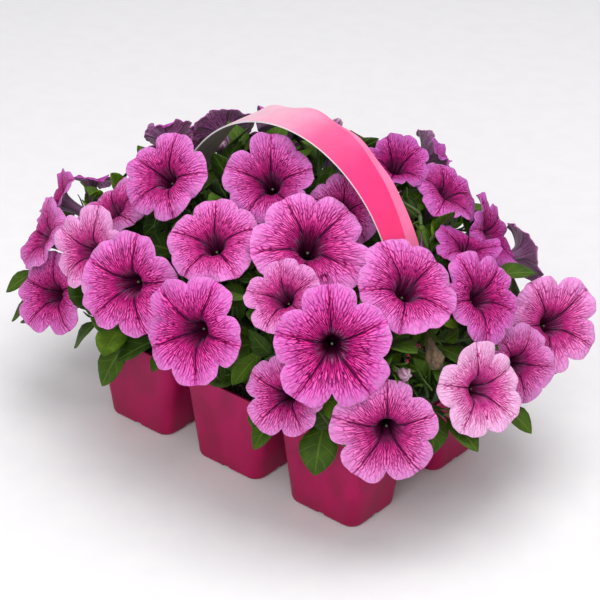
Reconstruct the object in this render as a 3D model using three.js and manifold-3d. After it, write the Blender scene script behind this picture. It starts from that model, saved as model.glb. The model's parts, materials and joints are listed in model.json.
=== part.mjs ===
// Petunias in a six-cell nursery pack with a printed carry handle.
// Millimetres, +Z up. X runs along the pack's three-cell side and -Y is its front.
// The origin is on the surface it stands on, under the middle of the whole outline.

import * as THREE from "three";
import { mergeVertices } from "three/addons/utils/BufferGeometryUtils.js";
import Module from "manifold-3d";

const wasm = await Module();
wasm.setup();

// The pack: thermoformed cells on one thin deck
const CELL_PITCH = { x: 66, y: 69 };
const CELL_COLUMNS = [-1, 0, 1];
const CELL_ROWS = [-1, 1];
const CELL_TOP = { x: 29, y: 21.5, corner: 8 };
const CELL_BASE = { x: 22.3, y: 18.3, corner: 7 };
const PACK_HEIGHT = 52;
const PACK_WALL = 1.2;
const DECK_THICKNESS = 1.4;
const DRAIN = { width: 5, height: 2.2, reach: 2.4 };
const CORNER_STEPS = 2;

// The potting mix in each cell
const MIX_TOP = 46;
const MIX_CLEARANCE = 0.3;

// The handle: one bent strip whose tabs lock under slots in the deck
const HANDLE_FOOT_X = 88;
const HANDLE_FOOT_Z = 45;
const HANDLE_RISE = 143;
const HANDLE_BULGE = 12;
const HANDLE_LEAN = 4;
const HANDLE_THICKNESS = 0.8;
const HANDLE_HALF = { leg: 12, crown: 14.5, neck: 8, barb: 10.5, tip: 6 };
const HANDLE_TAB = { at: 0.05, barb: 0.45, shoulder: 0.45, length: 9, bendAt: 0.11 };
const HANDLE_STEPS = 18;
const SLOT = { halfWidth: 8.8, halfGap: 0.95, depth: 8 };

// The mound that the flowers' mouths lie on
const MOUND = { x: 138, y: 106, z: 110, base: 66 };

// One flower. Sizes are those of a flower with the reference half-width and scale with it, and
// shares are of its own half-width.
const FLOWER_REFERENCE = 29;
const TUBE_LENGTH = 36;
const LIMB_THICKNESS = 1.0;
const THROAT = { share: 0.36, thickness: 1.8 };
const MIDDLE_SHARE = 0.7;
const LOBES = 5;
const NOTCH_DEPTH = 0.19;
const RIB_DENT = 0.03;
const LOBE_SPREAD = 0.08;
const LIMB = { funnel: 1.1, roll: 1.8, crease: 0.9, ruffle: 1.4 };
const TUBE = { foot: 2.0, outer: 4.4, outerAt: -16, inner: 3.0, innerAt: -9, floor: -15 };

// Stems and leaves
const STEM_RADIUS = 1.6;
const SIDE_STEM_RADIUS = 1.2;
const STEM_STEP = 20;
const STEM_FULLNESS = 0.85;
const MAIN_STEMS = 3;
const BRANCH_LEAST = 24;
const CALYX = { base: -3, baseRadius: 2.0, cupRadius: 2.8, seatRadius: 2.3, tipRadius: 6, tip: 10 };
const CROWN_RADIUS = 2.8;
const CROWN_HOLE_RADIUS = 3.4;
const CROWN_HOLE_DEPTH = 10;
const LEAF_THICKNESS = 0.8;
const SEAT_GAP = 0.35;
const CROWN_TOP = 54;
const SHARED_MOST = 1e-6;
const STEM_TRIES = 80;
const LEAF_TRIES = 16;

// Flowers: bearing and rise of the mouth's middle on the mound, its distance out as a share
// of the mound, the bearing and rise that it faces, the turn of its first lobe, its width,
// and how far it is cupped, from 0 for an open flower to 1.
const FLOWERS = [
  ["front_left", -103, 28, 1.03, -74, 20, 14, 55, 0],
  ["left_end_low", -142, 3, 1.05, -86, 24, 30, 47, 0],
  ["left_pale", -125, 27, 1.02, -84, 28, 20, 46, 0],
  ["left_end_mid", -150, 15, 1.13, -120, 35, 50, 43, 0.1],
  ["left_shoulder", -145, 35, 0.94, -115, 60, 10, 50, 0],
  ["left_end_high", -165, 18, 1.15, -135, 33, 0, 40, 0.2],
  ["left_crest_back", -179, 19, 1.14, 130, 60, 40, 34, 0.1],
  ["upper_left", -126, 56, 1.0, -80, 42, 20, 46, 0],
  ["upper_left_back", 178, 49, 0.99, 140, 26, 0, 34, 0.45],
  ["crest_back_left", 150, 48, 0.98, 150, 25, 20, 42, 0.1],
  ["centre_left", -88, 49, 0.92, -68, 54, 30, 49, 0],
  ["crown", -77, 74, 0.92, -60, 44, 24, 50, 0.1],
  ["centre_high", -48, 56, 0.87, -44, 46, 40, 59, 0],
  ["centre_high_rear", -16, 68, 0.86, -40, 50, 10, 38, 0],
  ["centre_front", -47, 27, 1.06, -50, 24, 22, 59, 0],
  ["front_middle", -81, 24, 1.02, -76, 20, -2, 54, 0],
  ["front_small", -58, 12, 0.95, -72, 26, 20, 43, 0],
  ["front_right_low", -35, 5, 1.02, -50, 17, 20, 54, 0],
  ["right_high", -21, 40, 1.02, -26, 54, 26, 54, 0],
  ["right_pale", -8, 11, 1.02, -20, 26, 16, 47, 0],
  ["right_end", 32, 11, 1.11, -24, 36, 30, 52, 0],
  ["right_middle", 6, 31, 1.0, -8, 38, 30, 48, 0],
  ["right_low_rear", 15, 8, 0.99, -20, 25, 50, 42, 0],
  ["centre_small", -59, 38, 0.99, -78, 48, 46, 41, 0.15],
  ["crest_right", 51, 62, 0.97, -30, 65, 20, 40, 0.35],
  ["crest_right_back", 74, 44, 1.08, 60, 40, 10, 36, 0.55],
  ["right_shoulder", 49, 47, 1.0, 20, 55, 40, 42, 0],
  ["right_shoulder_low", 49, 30, 1.01, 25, 30, 0, 44, 0.15],
  ["right_back_upper", 55, 17, 1.12, 60, 10, 30, 40, 0.2],
  ["right_edge_on", 24, 40, 0.95, 20, 75, 12, 36, 0],
  ["crest_back_right", 125, 64, 0.98, 120, 36, 50, 40, 0],
  ["back_right", 84, 30, 1.02, 84, 30, 16, 50, 0],
  ["back_right_low", 62, 2, 1.0, 62, 18, 40, 46, 0],
  ["back_middle", 108, 36, 0.98, 104, 38, 60, 52, 0],
  ["back_middle_low", 86, 6, 1.0, 92, 20, 8, 50, 0],
  ["back_left", 132, 30, 1.0, 124, 34, 30, 52, 0],
  ["back_left_low", 112, 4, 1.02, 112, 18, 52, 48, 0],
  ["left_back_low", 138, 5, 1.02, 146, 20, 22, 48, 0],
  ["left_back_mid", 160, 31, 1.04, 160, 26, 34, 42, 0],
  ["left_end_back", 166, 6, 1.04, 174, 22, 44, 46, 0],
];

// Leafy shoots with no flower: where the last leaf grows from on the mound, then that leaf's
// bearing, rise, length and width.
const SHOOTS = [
  [-131, -7, 0.73, -100, -45, 28, 20],
  [-141, -4, 0.84, -130, -45, 22, 14],
  [-116, -4, 0.62, -90, -35, 22, 13],
  [-69, -8, 0.62, -62, -50, 22, 13],
  [-48, -8, 0.7, -66, -50, 28, 18],
  [-60, -4, 0.68, -95, -35, 24, 14],
  [-24, 18, 0.86, -30, 10, 28, 22],
  [-30, 26, 0.88, -10, 20, 26, 14],
  [-30, 14, 0.88, -50, -10, 26, 16],
  [-22, 8, 0.9, -40, -20, 26, 16],
  [-14, 2, 0.9, -10, -15, 26, 14],
  [10, -3, 0.92, 0, -20, 24, 14],
  [24, 2, 0.98, 20, 5, 22, 12],
  [-152, 4, 1.12, -140, 30, 26, 12],
  [-148, -5, 0.98, -145, -15, 30, 16],
  [36, 24, 0.86, 30, 20, 30, 18],
  [-128, 58, 0.8, -100, 80, 28, 10],
  [-112, 68, 0.78, -60, 84, 26, 9],
  [-72, 38, 0.74, -70, 30, 28, 18],
  [-62, 20, 0.78, -55, 10, 30, 18],
  [4, 50, 0.76, -20, 60, 26, 14],
  [140, 20, 0.86, 140, 20, 28, 16],
  [100, 14, 0.86, 95, 10, 28, 16],
  [70, 14, 0.88, 60, 0, 28, 16],
  [176, 34, 0.84, 176, 40, 28, 14],
];

const deg = THREE.MathUtils.degToRad;
const UP = new THREE.Vector3(0, 0, 1);

// A direction from its bearing round the pack and its rise above level.
function direction(bearing, rise) {
  const b = deg(bearing);
  const r = deg(rise);
  return new THREE.Vector3(Math.cos(b) * Math.cos(r), Math.sin(b) * Math.cos(r), Math.sin(r));
}

// A point on the mound.
function onMound(bearing, rise, out) {
  const d = direction(bearing, rise).multiplyScalar(out);
  return new THREE.Vector3(d.x * MOUND.x, d.y * MOUND.y, MOUND.base + d.z * MOUND.z);
}

// The same number from 0 to 1 for the same three whole numbers, on every run.
function draw(a, b, c) {
  let h = Math.imul(a + 1, 0x9e3779b1) ^ Math.imul(b + 1, 0x85ebca6b) ^ Math.imul(c + 1, 0xc2b2ae35);
  h ^= h >>> 15;
  h = Math.imul(h, 0x2c1b3c6d);
  h ^= h >>> 12;
  h = Math.imul(h, 0x297a2d39);
  h ^= h >>> 15;
  return (h >>> 0) / 4294967296;
}

// Turns a closed three.js geometry into a solid that can be joined and cut.
function solid(geometry) {
  const bare = geometry.index ? geometry.toNonIndexed() : geometry.clone();
  bare.deleteAttribute("normal");
  bare.deleteAttribute("uv");
  const merged = mergeVertices(bare, 1e-4);
  return new wasm.Manifold(
    new wasm.Mesh({
      numProp: 3,
      vertProperties: new Float32Array(merged.attributes.position.array),
      triVerts: new Uint32Array(merged.index.array),
    }),
  );
}

// Turns a solid back into a named three.js mesh.
function meshOf(name, shape, material) {
  const { vertProperties, triVerts, numProp, numVert } = shape.getMesh();
  const position = new Float32Array(numVert * 3);
  for (let i = 0; i < numVert; i++) {
    position.set(vertProperties.subarray(i * numProp, i * numProp + 3), i * 3);
  }
  const geometry = new THREE.BufferGeometry();
  geometry.setAttribute("position", new THREE.BufferAttribute(position, 3));
  geometry.setIndex(new THREE.BufferAttribute(new Uint32Array(triVerts), 1));
  geometry.computeVertexNormals();
  const mesh = new THREE.Mesh(geometry, material);
  mesh.name = name;
  return mesh;
}

// The surface through a row of rings, each counter-clockwise and above the one before. A ring is
// a list of points, and has as many as its neighbour, half or twice as many, or is one end point.
function skin(rings) {
  const faces = [];
  let start = 0;
  for (let i = 0; i + 1 < rings.length; i++) {
    const a = rings[i].length;
    const b = rings[i + 1].length;
    const low = (k) => start + (k % a);
    const high = (k) => start + a + (k % b);
    const steps = Math.min(a, b) === 1 ? Math.max(a, b) : Math.min(a, b);
    for (let k = 0; k < steps; k++) {
      if (a === 1) {
        faces.push([low(0), high(k + 1), high(k)]);
      } else if (b === 1) {
        faces.push([low(k), low(k + 1), high(0)]);
      } else if (a === b) {
        faces.push([low(k), high(k + 1), high(k)], [low(k), low(k + 1), high(k + 1)]);
      } else if (b > a) {
        faces.push([low(k), high(2 * k + 1), high(2 * k)], [low(k), low(k + 1), high(2 * k + 1)]);
        faces.push([low(k + 1), high(2 * k + 2), high(2 * k + 1)]);
      } else {
        faces.push([low(2 * k), low(2 * k + 1), high(k)], [low(2 * k + 1), high(k + 1), high(k)]);
        faces.push([low(2 * k + 1), low(2 * k + 2), high(k + 1)]);
      }
    }
    start += a;
  }
  const geometry = new THREE.BufferGeometry().setFromPoints(rings.flat());
  geometry.setIndex(faces.flat());
  return geometry;
}

// A ring round a rounded rectangle at one height.
function roundedRing(halfX, halfY, corner, z) {
  const ring = [];
  for (let quarter = 0; quarter < 4; quarter++) {
    const sx = quarter === 0 || quarter === 3 ? 1 : -1;
    const sy = quarter < 2 ? 1 : -1;
    for (let i = 0; i <= CORNER_STEPS; i++) {
      const angle = (quarter + i / CORNER_STEPS) * (Math.PI / 2);
      const x = sx * (halfX - corner) + corner * Math.cos(angle);
      const y = sy * (halfY - corner) + corner * Math.sin(angle);
      ring.push(new THREE.Vector3(x, y, z));
    }
  }
  return ring;
}

// A tapered block with rounded corners, between two heights of a cell, drawn in by inset.
function cellBlock(inset, low, high) {
  const ringAt = (z) => {
    const t = z / PACK_HEIGHT;
    const mix = THREE.MathUtils.lerp;
    return roundedRing(
      mix(CELL_BASE.x, CELL_TOP.x, t) - inset,
      mix(CELL_BASE.y, CELL_TOP.y, t) - inset,
      mix(CELL_BASE.corner, CELL_TOP.corner, t) - inset,
      z,
    );
  };
  const middle = (z) => [new THREE.Vector3(0, 0, z)];
  return solid(skin([middle(low), ringAt(low), ringAt(high), middle(high)]));
}

const cellCentres = CELL_ROWS.flatMap((row) =>
  CELL_COLUMNS.map((column) => [column * CELL_PITCH.x, (row * CELL_PITCH.y) / 2]),
);

function boxAt(sizeX, sizeY, sizeZ, x, y, z) {
  return solid(new THREE.BoxGeometry(sizeX, sizeY, sizeZ)).translate([x, y, z]);
}

// Drain slots through the foot of each of a cell's four walls
function drains([x, y]) {
  const z = DRAIN.height / 2 - 0.5;
  const tall = DRAIN.height + 1;
  return [-1, 1].flatMap((side) => [
    boxAt(DRAIN.width, 2 * DRAIN.reach, tall, x, y + side * CELL_BASE.y, z),
    boxAt(2 * DRAIN.reach, DRAIN.width, tall, x + side * CELL_BASE.x, y, z),
  ]);
}

// The handle's middle line: t runs from 0 at the right foot to pi at the left one, and sin t is
// the share of the rise.
function handleLine(t) {
  const s = Math.sin(t);
  const c = Math.cos(t);
  const x = HANDLE_FOOT_X * c + HANDLE_BULGE * c * s * s + HANDLE_LEAN * s;
  return new THREE.Vector3(x, 0, HANDLE_FOOT_Z + HANDLE_RISE * s);
}

// The thermoformed pack: six tapered cells joined by one deck, open at the top of each cell.
function makePack() {
  const halfX = CELL_PITCH.x + CELL_TOP.x;
  const halfY = CELL_PITCH.y / 2 + CELL_TOP.y;
  const deckRing = (z) => roundedRing(halfX, halfY, CELL_TOP.corner, z);
  const deckTop = [new THREE.Vector3(0, 0, PACK_HEIGHT)];
  const deckUnder = [new THREE.Vector3(0, 0, PACK_HEIGHT - DECK_THICKNESS)];
  const deck = solid(skin([deckUnder, deckRing(deckUnder[0].z), deckRing(deckTop[0].z), deckTop]));
  const outside = cellCentres.map(([x, y]) => cellBlock(0, 0, PACK_HEIGHT).translate([x, y, 0]));
  const hollow = cellBlock(PACK_WALL, PACK_WALL, PACK_HEIGHT + 1);
  const inside = cellCentres.map(([x, y]) => hollow.translate([x, y, 0]));
  const slots = [-1, 1].map((side) => {
    const { x } = handleLine(side > 0 ? HANDLE_TAB.at : Math.PI - HANDLE_TAB.at);
    return boxAt(2 * SLOT.halfGap, 2 * SLOT.halfWidth, SLOT.depth, x, 0, PACK_HEIGHT);
  });
  const cuts = [...inside, ...slots, ...cellCentres.flatMap(drains)];
  return wasm.Manifold.union([deck, ...outside]).subtract(wasm.Manifold.union(cuts));
}

// The potting mix that fills a cell, with the hole that its plant's crown stands in.
function makeMix([x, y]) {
  const block = cellBlock(PACK_WALL + MIX_CLEARANCE, PACK_WALL + MIX_CLEARANCE, MIX_TOP);
  const hole = new THREE.CylinderGeometry(CROWN_HOLE_RADIUS, CROWN_HOLE_RADIUS, 2 * CROWN_HOLE_DEPTH, 8);
  hole.rotateX(Math.PI / 2).translate(0, 0, MIX_TOP);
  return block.subtract(solid(hole)).translate([x, y, 0]);
}

// The handle strip: wide at its crown, with a neck through the deck and a barb below it.
function makeHandle() {
  const foot = (t) => {
    const { x } = handleLine(t);
    const across = new THREE.Vector3(Math.sign(x), 0, 0);
    const at = (drop, half) => ({ p: new THREE.Vector3(x, 0, PACK_HEIGHT - drop), half, across });
    return [
      at(HANDLE_TAB.length, HANDLE_HALF.tip),
      at(DECK_THICKNESS + HANDLE_TAB.barb + 0.1, HANDLE_HALF.barb),
      at(DECK_THICKNESS + HANDLE_TAB.barb, HANDLE_HALF.neck),
      at(-HANDLE_TAB.shoulder, HANDLE_HALF.neck),
      at(-HANDLE_TAB.shoulder - 0.1, HANDLE_HALF.leg),
    ];
  };
  const arch = Array.from({ length: HANDLE_STEPS + 1 }, (_, i) => {
    const t = THREE.MathUtils.lerp(HANDLE_TAB.bendAt, Math.PI - HANDLE_TAB.bendAt, i / HANDLE_STEPS);
    const ahead = handleLine(t + 0.01).sub(handleLine(t - 0.01)).normalize();
    const crown = THREE.MathUtils.smoothstep(Math.sin(t), 0.75, 1);
    const half = THREE.MathUtils.lerp(HANDLE_HALF.leg, HANDLE_HALF.crown, crown);
    return { p: handleLine(t), half, across: new THREE.Vector3(ahead.z, 0, -ahead.x) };
  });
  const stations = [...foot(HANDLE_TAB.at), ...arch, ...foot(Math.PI - HANDLE_TAB.at).reverse()];
  const corners = [[-1, -1], [1, -1], [1, 1], [-1, 1]];
  const rings = stations.map(({ p, half, across }) =>
    corners.map(([outward, side]) => {
      const corner = p.clone().addScaledVector(across, (outward * HANDLE_THICKNESS) / 2);
      corner.y += side * half;
      return corner;
    }),
  );
  const middleOf = (ring) => [ring[0].clone().add(ring[2]).multiplyScalar(0.5)];
  return solid(skin([middleOf(rings[0]), ...rings, middleOf(rings.at(-1))]));
}

// Where a flower sits: its mouth's middle, the way it faces, and its own right and up.
function flowerFrame([, bearing, rise, out, faceBearing, faceRise, turn, width, cup]) {
  const facing = direction(faceBearing, faceRise);
  const right = new THREE.Vector3().crossVectors(UP, facing).normalize();
  const up = new THREE.Vector3().crossVectors(facing, right);
  return { middle: onMound(bearing, rise, out), facing, right, up, turn: deg(turn), half: width / 2, cup };
}

// A point of the limb in the flower's own frame, at a share of the half-width: five lobes with
// a crease along each midrib and a notch between neighbours, rolled back at the rim and ruffled.
function limbPoint(seed, share, angle, half, cup) {
  const lobe = (LOBES * angle) / (2 * Math.PI);
  const fromRib = 2 * Math.abs(lobe - Math.round(lobe));
  const dent = NOTCH_DEPTH * Math.pow(fromRib, 3) + RIB_DENT * Math.pow(1 - fromRib, 2);
  const notch = 1 - dent * share * share;
  const own = 1 + LOBE_SPREAD * (draw(seed, Math.round(lobe + LOBES) % LOBES, 7) - 0.5) * share;
  const crease = LIMB.crease * share * (-1 + 6.4 * fromRib - 5.6 * fromRib * fromRib);
  const phase = (index) => 2 * Math.PI * draw(seed, index, 1);
  const wave = Math.sin(2 * angle + phase(1)) + 0.7 * Math.sin(3 * angle + phase(2));
  const funnel = LIMB.funnel * (1 - Math.pow(share, -1.35));
  const roll = LIMB.roll * Math.pow(Math.max(0, share - 0.72) / 0.28, 2);
  const level = funnel - roll + crease + LIMB.ruffle * wave * Math.pow(share, 3);
  const close = cup * Math.pow(share, 1.5);
  const r = share * half * notch * own * (1 - 0.45 * close);
  const depth = (level * half) / FLOWER_REFERENCE + 0.8 * close * half;
  return new THREE.Vector3(r * Math.cos(angle), r * Math.sin(angle), depth);
}

// One flower: five joined lobes round an open throat, on a slim tube.
function makeFlower(row, seed) {
  const { middle, facing, right, up, turn, half, cup } = flowerFrame(row);
  const scale = half / FLOWER_REFERENCE;
  const ring = (share, count, back) =>
    Array.from({ length: count }, (_, k) => {
      const p = limbPoint(seed, share, (2 * Math.PI * k) / count, half, cup);
      p.z -= back;
      return p;
    });
  const tube = (radius, z) =>
    Array.from({ length: LOBES }, (_, k) => {
      const angle = (2 * Math.PI * k) / LOBES;
      return new THREE.Vector3(radius * Math.cos(angle), radius * Math.sin(angle), z * scale);
    });
  const geometry = skin([
    [new THREE.Vector3(0, 0, -TUBE_LENGTH * scale)],
    tube(TUBE.foot, -TUBE_LENGTH),
    tube(TUBE.outer * scale, TUBE.outerAt),
    ring(THROAT.share, 2 * LOBES, THROAT.thickness),
    ring(1, 4 * LOBES, LIMB_THICKNESS),
    ring(1, 4 * LOBES, 0),
    ring(MIDDLE_SHARE, 2 * LOBES, 0),
    ring(THROAT.share, 2 * LOBES, 0),
    tube(TUBE.inner * scale, TUBE.innerAt),
    [new THREE.Vector3(0, 0, TUBE.floor * scale)],
  ]);
  const place = new THREE.Matrix4().makeBasis(right, up, facing).setPosition(middle);
  geometry.applyMatrix4(new THREE.Matrix4().makeRotationZ(turn)).applyMatrix4(place);
  return solid(geometry);
}

// Where a flower's tube ends and its stalk begins.
function flowerFoot(row) {
  const { middle, facing, half } = flowerFrame(row);
  const foot = middle.clone().addScaledVector(facing, (-TUBE_LENGTH * half) / FLOWER_REFERENCE - SEAT_GAP);
  return { foot, facing };
}

// The calyx that holds a flower's tube: a small cup that opens into five pointed sepals.
function makeCalyx(row) {
  const { foot, facing } = flowerFoot(row);
  const { right, up } = flowerFrame(row);
  const ring = (count, radii, heights) =>
    Array.from({ length: count }, (_, k) => {
      const angle = (2 * Math.PI * k) / count;
      const r = radii[k % radii.length];
      return new THREE.Vector3(r * Math.cos(angle), r * Math.sin(angle), heights[k % heights.length]);
    });
  const cup = skin([
    ring(1, [0], [CALYX.base]),
    ring(LOBES, [CALYX.baseRadius], [CALYX.base]),
    ring(2 * LOBES, [CALYX.tipRadius, CALYX.cupRadius], [CALYX.tip, 0]),
    ring(LOBES, [CALYX.seatRadius], [0]),
    ring(1, [0], [0]),
  ]);
  return solid(cup.applyMatrix4(new THREE.Matrix4().makeBasis(right, up, facing).setPosition(foot)));
}

// A three-sided stem of even thickness along a curve, and the nodes where it bends.
function makeStem(curve, radius) {
  const section = new THREE.Shape();
  for (let k = 0; k < 3; k++) {
    const angle = (2 * Math.PI * k) / 3;
    const at = [radius * Math.cos(angle), radius * Math.sin(angle)];
    if (k === 0) section.moveTo(...at);
    else section.lineTo(...at);
  }
  const steps = Math.max(2, Math.round(curve.getLength() / STEM_STEP));
  const rod = new THREE.ExtrudeGeometry(section, { steps, extrudePath: curve, bevelEnabled: false });
  const shape = solid(rod);
  const nodes = Array.from({ length: steps - 1 }, (_, k) => {
    const u = (k + 1) / steps;
    return { parent: shape, at: curve.getPointAt(u), along: curve.getTangentAt(u) };
  });
  const sectionArea = 0.75 * Math.sqrt(3) * radius * radius;
  const isFull = shape.volume() > STEM_FULLNESS * curve.getLength() * sectionArea;
  return { shape, nodes, isFull };
}

// The way a stem takes from its root to its end; each bend sends it another way round.
function stemCurve(root, { end, facing }, seed, bend) {
  const whole = end.clone().sub(root.at);
  const reach = 0.3 * whole.length();
  const lean = new THREE.Vector3(...[12, 13, 15].map((index) => bend * (draw(seed, bend, index) - 0.5)));
  const away = whole.normalize().addScaledVector(root.along, 0.6).addScaledVector(lean, 0.5).normalize();
  const first = root.at.clone().addScaledVector(away, reach);
  const last = end.clone().addScaledVector(facing, -reach * (0.8 + 0.7 * draw(seed, bend, 14)));
  return new THREE.CubicBezierCurve3(root.at, first, last, end);
}

// A pointed oval leaf, folded along its midrib and arched along its length.
function makeLeaf({ base, along, normal, length, width }) {
  const side = new THREE.Vector3().crossVectors(along, normal).normalize();
  const top = new THREE.Vector3().crossVectors(side, along).normalize();
  const stations = [[0, 0.05], [0.34, 0.88], [0.66, 0.88], [1, 0]];
  const at = (t, across, layer) => {
    const arch = 0.16 * length * (t - t * t * 1.5);
    const fold = 0.22 * Math.abs(across) * width * 0.5;
    return base
      .clone()
      .addScaledVector(along, t * length)
      .addScaledVector(side, across * width * 0.5)
      .addScaledVector(top, arch + fold - layer * LEAF_THICKNESS);
  };
  const row = (layer) =>
    stations.map(([t, w]) => (w ? [-w, 0, w] : [0]).map((across) => at(t, across, layer)));
  const upper = row(0);
  const lower = row(1);
  const points = [...upper.flat(), ...lower.flat()];
  const under = upper.flat().length;
  const tip = under - 1;
  const faces = [];
  const sheet = (a, b, c) => {
    faces.push([a, b, c], [under + a, under + c, under + b]);
  };
  for (let i = 0; i < 2; i++) {
    const s = 3 * i;
    sheet(s, s + 1, s + 3);
    sheet(s + 1, s + 4, s + 3);
    sheet(s + 1, s + 2, s + 4);
    sheet(s + 2, s + 5, s + 4);
  }
  sheet(6, 7, tip);
  sheet(7, 8, tip);
  const border = [0, 3, 6, tip, 8, 5, 2, 1];
  border.forEach((a, i) => {
    const b = border[(i + 1) % border.length];
    faces.push([a, b, under + b], [a, under + b, under + a]);
  });
  const geometry = new THREE.BufferGeometry().setFromPoints(points);
  geometry.setIndex(faces.flat());
  const made = solid(geometry);
  return made.volume() < 0 ? solid(geometry.setIndex(faces.map(([a, b, c]) => [a, c, b]).flat())) : made;
}

// How a leaf grows from a node of a stem; each try turns it round the stem and shortens it.
function leafAtNode({ at, along: stemWay }, seed, attempt) {
  const aside = new THREE.Vector3().crossVectors(stemWay, UP).normalize();
  const radial = aside.applyAxisAngle(stemWay, 2 * Math.PI * draw(seed, attempt, 30));
  const along = radial.multiplyScalar(0.9).addScaledVector(stemWay, 0.55).addScaledVector(UP, 0.1);
  along.normalize();
  const side = new THREE.Vector3().crossVectors(along, stemWay);
  const normal = new THREE.Vector3().crossVectors(side, along).normalize();
  const length = (38 - 1.6 * attempt) * (0.8 + 0.3 * draw(seed, attempt, 22));
  return { base: at.clone().addScaledVector(along, -0.2), along, normal, length, width: 0.56 * length };
}

const nearestCell = (p) => {
  const away = cellCentres.map(([x, y]) => Math.hypot(p.x - x, p.y - y));
  return away.indexOf(Math.min(...away));
};

// The list in an order in which each next end is the farthest from those before it.
function spreadOut(ends, from) {
  const rest = [...ends];
  const order = [];
  while (rest.length) {
    const placed = [from, ...order.map((other) => other.end)];
    const room = rest.map(({ end }) => Math.min(...placed.map((p) => p.distanceTo(end))));
    order.push(...rest.splice(room.indexOf(Math.max(...room)), 1));
  }
  return order;
}

// The nodes of the plant's main stems that a side stem may grow from, nearest first.
function branchRoots(mains, end) {
  const nodes = mains.flatMap((main) => main.stem.nodes);
  const far = nodes.filter(({ at }) => at.distanceTo(end) > BRANCH_LEAST);
  return far.sort((p, q) => p.at.distanceTo(end) - q.at.distanceTo(end));
}

// All six plants, each one fused body: crown, stems, calyxes and leaves. A stem or leaf that
// would cross something is bent to its next try, and a leaf that finds no room is left out.
function makePlants(taken) {
  const pieces = taken.map((shape) => ({ shape }));
  const isClear = (shape, cell, joined) =>
    pieces.every((other) => {
      if (joined.includes(other.shape) || !boxesMeet(shape, other.shape)) return true;
      const shared = shape.intersect(other.shape);
      if (shared.volume() < SHARED_MOST) return true;
      return other.cell === cell && shared.boundingBox().max[2] < CROWN_TOP + 8;
    });
  const ends = [
    ...FLOWERS.map((row) => {
      const { foot, facing } = flowerFoot(row);
      return { end: foot.clone().addScaledVector(facing, CALYX.base + 0.3), facing, calyx: makeCalyx(row) };
    }),
    ...SHOOTS.map(([bearing, rise, out, tipBearing, tipRise, length, width]) => {
      const facing = direction(tipBearing, tipRise);
      return { end: onMound(bearing, rise, out), facing, tip: { length, width } };
    }),
  ];
  ends.forEach((at, i) => {
    at.seed = i;
    at.cell = nearestCell(at.end);
    if (at.calyx) pieces.push({ cell: at.cell, shape: at.calyx });
  });
  cellCentres.forEach(([x, y], cell) => {
    const low = MIX_TOP - CROWN_HOLE_DEPTH + SEAT_GAP;
    const crown = new THREE.CylinderGeometry(CROWN_RADIUS, CROWN_RADIUS, CROWN_TOP - low, 6);
    crown.rotateX(Math.PI / 2).translate(x, y, (CROWN_TOP + low) / 2);
    pieces.push({ cell, shape: solid(crown) });
    const top = new THREE.Vector3(x, y, CROWN_TOP - 3);
    const order = spreadOut(ends.filter((at) => at.cell === cell), top);
    order.forEach((at, rank) => {
      const isMain = rank < MAIN_STEMS;
      const outward = at.end.clone().sub(top).setZ(0).normalize().multiplyScalar(0.5).add(UP).normalize();
      const fromCrown = { at: top, along: outward };
      const mains = order.filter((other) => other.stem && other.isMain);
      const roots = isMain ? [fromCrown] : [...branchRoots(mains, at.end), fromCrown];
      for (let attempt = 0; attempt < STEM_TRIES && !at.stem; attempt++) {
        const root = roots[attempt % roots.length];
        const curve = stemCurve(root, at, at.seed, Math.floor(attempt / roots.length));
        const stem = makeStem(curve, isMain ? STEM_RADIUS : SIDE_STEM_RADIUS);
        const isGood = stem.isFull && isClear(stem.shape, cell, [at.calyx, root.parent]);
        if (isGood) Object.assign(at, { stem, isMain });
      }
      if (at.stem) pieces.push({ cell, shape: at.stem.shape });
    });
  });
  const grow = (leaf, at) => {
    const isRoom = isClear(leaf, at.cell, [at.stem.shape]);
    if (isRoom) pieces.push({ cell: at.cell, shape: leaf });
    return isRoom;
  };
  const grown = ends.filter((at) => at.stem);
  grown.filter((at) => at.tip).forEach((at) => {
    const side = new THREE.Vector3().crossVectors(at.facing, UP);
    const normal = new THREE.Vector3().crossVectors(side, at.facing).normalize();
    const back = at.stem.nodes.at(-1).at.clone().sub(at.end).normalize();
    const base = at.end.clone().add(back);
    for (let attempt = 0; attempt < LEAF_TRIES; attempt++) {
      const roll = 0.16 * attempt * (attempt % 2 ? 1 : -1);
      const swing = 0.12 * attempt * (draw(at.seed, attempt, 40) - 0.5);
      const rise = 0.12 * attempt * (draw(at.seed, attempt, 41) - 0.5);
      const along = at.facing.clone().addScaledVector(side, swing).addScaledVector(normal, rise);
      const size = 1 - 0.03 * attempt;
      const turned = normal.clone().applyAxisAngle(at.facing, roll);
      const length = size * at.tip.length;
      const width = size * at.tip.width;
      const leaf = makeLeaf({ base, along: along.normalize(), normal: turned, length, width });
      if (grow(leaf, at)) return;
    }
  });
  grown.filter((at) => at.calyx).forEach((at) => {
    const { nodes } = at.stem;
    for (let attempt = 0; attempt < LEAF_TRIES; attempt++) {
      const node = nodes[(attempt + at.seed) % nodes.length];
      if (grow(makeLeaf(leafAtNode(node, at.seed, attempt)), at)) return;
    }
  });
  return cellCentres.map((_, cell) => {
    const ofCell = pieces.filter((piece) => piece.cell === cell);
    return wasm.Manifold.union(ofCell.map((piece) => piece.shape));
  });
}

function boxesMeet(a, b) {
  const p = a.boundingBox();
  const q = b.boundingBox();
  return [0, 1, 2].every((i) => p.min[i] < q.max[i] && q.min[i] < p.max[i]);
}

const material = (color, roughness) => new THREE.MeshStandardMaterial({ color, roughness, metalness: 0 });
const packPlastic = material(0x94305a, 0.45);
const pottingMix = material(0x3a2a20, 0.95);
const handleStrip = material(0xfb4379, 0.4);
const greenery = material(0x3f6b24, 0.6);
const petals = material(0xd957b5, 0.6);

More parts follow.
